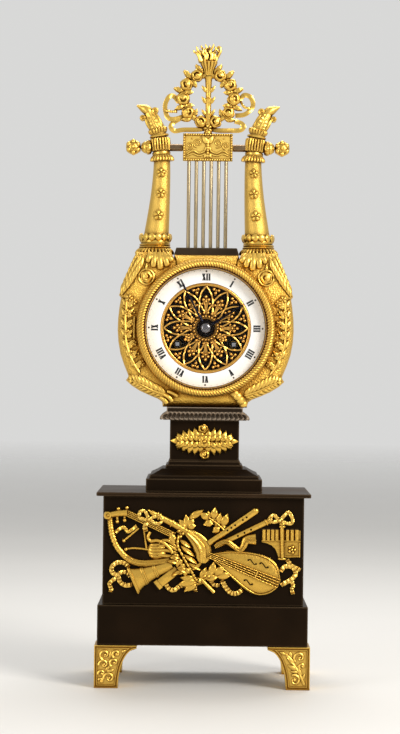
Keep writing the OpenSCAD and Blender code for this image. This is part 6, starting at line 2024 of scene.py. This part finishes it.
    def laurel(self) -> Shells:
        """Knotted stem with leaves, twigs and sprigs at the top and the bottom, cloth folds and berries."""
        stem = [(-4.4, -24.6), (-7.4, -20.4), (-11.6, -13.0), (-16.6, -4.4), (-21.0, 4.6), (-20.4, 13.4)]
        yield self.bar(stem, 1.2, 1.5, 3.6, 90, 14, 0.4)
        on_stem = (
            (-19.6, 9.6, -10.8, 3.4, 5.6), (-18.6, 4.6, -8.0, -3.4, 5.6), (-16.0, -2.6, -5.4, -9.8, 5.4),
            (-12.4, -9.6, -2.4, -15.0, 5.2), (-9.6, -15.8, -1.4, -9.4, 4.8), (-20.6, -9.4, -29.0, -8.2, 5.0),
            (-17.0, -15.4, -25.0, -20.0, 5.0), (-18.6, -6.0, -25.4, -3.6, 4.6),
            (-13.0, -17.6, -20.6, -14.4, 4.6))
        on_twigs = (
            (-12.4, 27.0, -1.4, 33.6, 4.8), (4.8, 27.2, -2.4, 31.2, 5.0), (8.0, 26.4, 9.4, 35.6, 5.0),
            (15.4, 20.6, 19.4, 30.4, 5.4), (8.4, 24.6, 0.6, 22.4, 5.0), (13.6, 20.4, 8.0, 16.4, 4.8),
            (11.6, 23.2, 13.8, 31.0, 4.6), (-1.8, -23.6, 2.2, -14.0, 5.0), (0.2, -23.2, 8.2, -15.4, 5.4),
            (2.4, -23.0, 11.4, -20.8, 5.0), (6.4, -20.4, 9.0, -9.4, 5.4), (9.6, -19.4, 17.0, -12.8, 5.6),
            (11.0, -20.4, 22.4, -19.2, 5.6), (-5.4, -23.4, -17.4, -22.0, 5.4),
            (-5.0, -24.6, -19.0, -27.4, 5.6), (-5.0, -25.6, -14.4, -32.6, 5.4))
        for rows, rise, share in ((on_stem, 3.5, 0.72), (on_twigs, 2.2, 1.2)):
            for k, (x0, z0, x1, z1, width) in enumerate(rows):
                tip = self.at(x1 + 0.12 * (x1 - x0), z1 + 0.12 * (z1 - z0), rise)
                yield leaf(self.at(x0, z0, rise + 0.3 * (k % 3)), tip, share * width, 1.2, 0.5, thick=1.3,
                           full=0.85, rings=20, sides=12)
        yield self.bar([(17.4, 17.6), (12.0, 22.6), (4.4, 28.0)], 0.8, 1.0, 3.6, 20, 6, 0.3)
        for x, z, lean, size, rise in (
                (-13.4, 19.6, 96, 10.8, 2.4), (-16.4, 15.4, 130, 7.0, 2.4), (-20.0, -6.0, 215, 8.6, 3.4),
                (-14.4, -13.6, 225, 8.6, 3.4), (6.6, 25.4, 110, 8.6, 1.8), (13.6, 21.0, 80, 7.6, 1.8),
                (6.4, -19.6, 50, 9.0, 1.6)):
            yield from self.sprig(x, z, lean, size, rise)
        for z, sag in ((7.0, 1.6), (3.6, 1.2), (0.2, 0.2), (-3.2, -1.0)):
            fold = [(-37.0, z), (-29.6, z + sag), (-21.6, 0.7 * z - 2.0)]
            yield self.bar(fold, np.linspace(1.9, 1.5, 24), 1.7, 2.0)
        yield rose(self.at(-3.4, -24.6, 1.6), 3.6, 3.4)
        for x, z in ((-20.2, 16.8), (-16.8, 14.6), (-18.8, 12.2), (4.8, -20.6), (1.4, -20.4)):
            yield ball(self.at(x, z, 4.0), 1.6)

    def ribbons(self) -> Shells:
        """Bows, loops and pleated tails."""
        for row in (
                (1.3, 3.8, 6, (-45.6, 26.4), (-48.4, 32.4), (-52.4, 32.4), (-53.0, 27.6), (-48.6, 25.8),
                 (-45.6, 25.8)),
                (1.3, 3.8, 6, (-44.6, 26.4), (-39.6, 28.6), (-35.4, 28.8), (-34.8, 24.4), (-38.6, 22.6),
                 (-44.0, 25.4)),
                (1.9, 3.4, 3, (-46.0, 25.0), (-48.4, 20.0), (-47.6, 16.0)),
                (1.8, 1.8, 15, (-61.6, -13.6), (-65.0, -10.6), (-70.6, -10.0), (-75.2, -13.4), (-75.0, -18.4),
                 (-70.4, -21.4), (-68.4, -26.2), (-63.8, -29.0), (-58.4, -28.0)),
                (1.6, 1.6, 4, (-71.0, -20.6), (-67.0, -18.0), (-62.6, -18.6), (-60.4, -21.6)),
                (1.6, 1.6, 6, (-70.6, -22.2), (-75.0, -25.0), (-77.4, -28.0), (-76.0, -31.6), (-76.6, -34.6)),
                (1.8, 1.8, 9, (-31.0, -26.0), (-28.6, -30.6), (-24.0, -32.4), (-19.4, -29.2), (-14.0, -28.0),
                 (-8.0, -27.0)),
                (1.5, 1.6, 4, (-3.6, -25.2), (-6.4, -29.6), (-6.0, -33.4)),
                (1.6, 1.8, 4, (5.6, -22.4), (9.0, -27.4), (13.6, -28.0)),
                (1.9, 1.6, 9, (15.6, -23.6), (19.0, -29.6), (23.4, -34.0), (28.4, -34.4), (33.0, -31.0)),
                (1.8, 1.8, 10, (64.2, -16.0), (67.6, -12.0), (73.4, -12.2), (76.8, -16.6), (74.4, -21.4),
                 (69.6, -24.6), (64.6, -27.2)),
                (1.6, 1.6, 5, (72.6, -21.6), (74.6, -27.4), (73.8, -30.6), (74.8, -34.6)),
                (1.6, 1.8, 5, (69.6, -6.0), (72.6, -10.4), (77.8, -13.2), (80.4, -14.6)),
                (1.4, 3.8, 5, (62.4, 26.4), (58.4, 30.6), (55.2, 28.6), (57.2, 25.2), (62.4, 26.0)),
                (1.4, 3.8, 7, (63.4, 26.4), (67.6, 31.4), (70.6, 33.0), (73.6, 27.4), (72.2, 24.0),
                 (66.4, 24.8), (63.6, 26.0))):
            yield self.ribbon(*row)
        yield ball(self.at(-45.2, 26.0, 4.0), 2.0)
        yield ball(self.at(63.0, 26.2, 3.8), 2.0)

    def holes(self) -> Shells:
        """Finger holes of the flutes and sound holes of the lute, as thin near-black inlays painted as the
        shade inside the holes.
        """
        for ends, shares, rise in ((((43.4, 34.2), (4.2, 6.6)), (0.2, 0.28, 0.44, 0.52, 0.6), 4.05),
                                   (((55.6, 26.4), (10.5, 4.4)), (0.36, 0.48, 0.6), 3.65)):
            a, b = np.array(ends)
            for share in shares:
                at = self.at(*(a + share * (b - a)), rise)
                yield turned([(0.8, 0), (0.8, 0.25), (0.4, 0.3)], at, FRONT, 12)
        half = np.array([(-3.2, 1.6), (-1.6, 2.0), (0, 0), (1.6, -2.0), (3.2, -1.6)])
        for middle in ((40.6, -8.2), (50.4, -10.8), (37.6, -25.0)):
            curve = half + middle
            yield self.bar(curve, 0.4, 0.4, 4.05)
            for end in (curve[0], curve[-1]):
                yield turned([(0.75, 0), (0.75, 0.3), (0.4, 0.36)], self.at(*end, 4.0), FRONT, 12)


@dataclass
class Movement:
    """Inner works, drum and door, which keep the solids' own shapes."""

    brass: tuple[str, ...] = (
        "movement_drum", "rear_door", "front_plate", "back_plate", "plate_pillars", "going_barrel",
        "strike_barrel", "intermediate_wheel", "centre_wheel", "third_wheel", "escape_wheel",
        "suspension_cock", "pendulum", "cannon_pinion", "minute_wheel", "hour_wheel",
        "strike_second_wheel", "pin_wheel", "stop_wheel", "fly")
    steel: tuple[str, ...] = (
        "tie_rod", "going_mainspring", "strike_mainspring", "pallet_anchor", "hammer", "bell_stand")
    # The arbors take the near-black arbor finish, painted shade inside the winding holes.
    dark: tuple[str, ...] = ("going_arbor", "strike_arbor")

    def build(self, finishes: Finishes) -> None:
        """Dresses each node."""
        # dial_plate takes the near-black well finish, painted shade behind the pierced centre.
        for names, material in (
                (self.brass, finishes.brass), (self.steel, finishes.steel), (self.dark, finishes.arbor),
                (("bell",), finishes.bell), (("hinge_pins",), finishes.leafy),
                (("dial_plate",), finishes.well)):
            for name in names:
                dress(name, material)


@dataclass
class Studio:
    """Pale floor, soft light and the camera at the photograph's place.

    Attributes:
        distance: Distance of the camera in front of the clock, in metres.
        height: Height of the camera.
        aside: Offset of the camera to the right.
        roll: Roll of the camera, in degrees.
        lens: Focal length in millimetres.
        ground: Radius of the floor in metres.
        aim: Height that the lamps point at.
    """

    distance: float = 1.9
    height: float = 0.2662
    aside: float = -0.00445
    roll: float = 0.67
    lens: float = 109.4
    ground: float = 6.0
    aim: float = 0.28

    def build(self) -> None:
        """Makes the floor, the world, the lamps and the camera."""
        scene = bpy.context.scene
        scene.view_settings.view_transform = "Standard"
        self.floor()
        self.world()
        self.lamp("key", (1.1, -1.3, 1.1), (0.7, 0.9), 29, (1.0, 0.96, 0.9))
        self.lamp("fill", (-1.2, -1.2, 0.6), (0.5, 1.0), 6, (1.0, 0.97, 0.93))
        self.lamp("top", (0.1, 0.5, 1.5), (0.9, 0.6), 12, (1.0, 1.0, 1.0))
        camera = bpy.data.cameras.new("camera")
        camera.sensor_width = 36.0
        camera.lens = self.lens
        seen = bpy.data.objects.new("camera", camera)
        turn = Matrix.Rotation(np.radians(90), 4, "X") @ Matrix.Rotation(np.radians(self.roll), 4, "Z")
        seen.matrix_world = Matrix.Translation((self.aside, -self.distance, self.height)) @ turn
        scene.collection.objects.link(seen)
        scene.camera = seen

    def lamp(self, name: str, place: Triple, size: tuple[float, float], power: float, tint: Triple) -> None:
        """Adds one area lamp that faces the clock's middle.

        Args:
            name: Name of the lamp.
            place: Where it stands, in metres.
            size: Width and height, in metres.
            power: Watts.
            tint: Colour.
        """
        light = bpy.data.lights.new(name, "AREA")
        light.shape = "RECTANGLE"
        light.size, light.size_y = size
        light.energy = power
        light.color = tint
        made = bpy.data.objects.new(name, light)
        made.location = place
        way = Vector((0, 0, self.aim)) - Vector(place)
        made.rotation_euler = way.to_track_quat("-Z", "Y").to_euler()
        bpy.context.scene.collection.objects.link(made)

    def floor(self) -> None:
        """Adds a round pale floor that fades out into the background."""
        a = angles(96)
        rim = self.ground * np.stack([np.cos(a), np.sin(a), 0 * a], -1)
        mesh = bpy.data.meshes.new("floor")
        mesh.from_pydata(rim.tolist(), [], [list(range(len(a)))])
        g = Paint("floor_pale")
        colour = g.mix(g.noise(3, 3), rgba(232, 230, 226), rgba(226, 224, 220))
        away = g.value("ShaderNodeVectorMath", {"operation": "LENGTH"}, "Value", In0=g.place)
        whole = 1.22
        alpha = (whole - away * (whole / self.ground)).clamped()
        pale = g.surface(Base_Color=colour, Roughness=0.6, Specular_IOR_Level=0.2, Alpha=alpha)
        mesh.materials.append(pale)
        made = bpy.data.objects.new("floor", mesh)
        bpy.context.scene.collection.objects.link(made)

    def world(self) -> None:
        """Pale world for the eye and for reflections, and softer light for the rest."""
        world = bpy.data.worlds.new("studio")
        bpy.context.scene.world = world
        world.use_nodes = True
        g = Graph(world.node_tree)
        rays = g.node("ShaderNodeLightPath", {}).outputs
        seen = g.math("MAXIMUM", rays["Is Camera Ray"], rays["Is Glossy Ray"])
        seen = g.math("MAXIMUM", seen, rays["Is Transmission Ray"])
        back = g.tree.nodes["Background"]
        g.feed(back.inputs["Color"], (0.86, 0.86, 0.85, 1))
        g.feed(back.inputs["Strength"], seen * 0.3 + 0.5)


def main() -> None:
    """Builds the clock piece by piece."""
    logging.basicConfig(level=logging.INFO, format="%(message)s")
    finishes = Finishes()
    Studio().build()
    for part in (Base(), Pedestal(), Feet(), LyreBody(), Arm(), Yoke(), Crest(), Trophy(), Movement(),
                 Dial(), Bezel()):
        part.build(finishes)


if __name__ == "__main__":
    main()
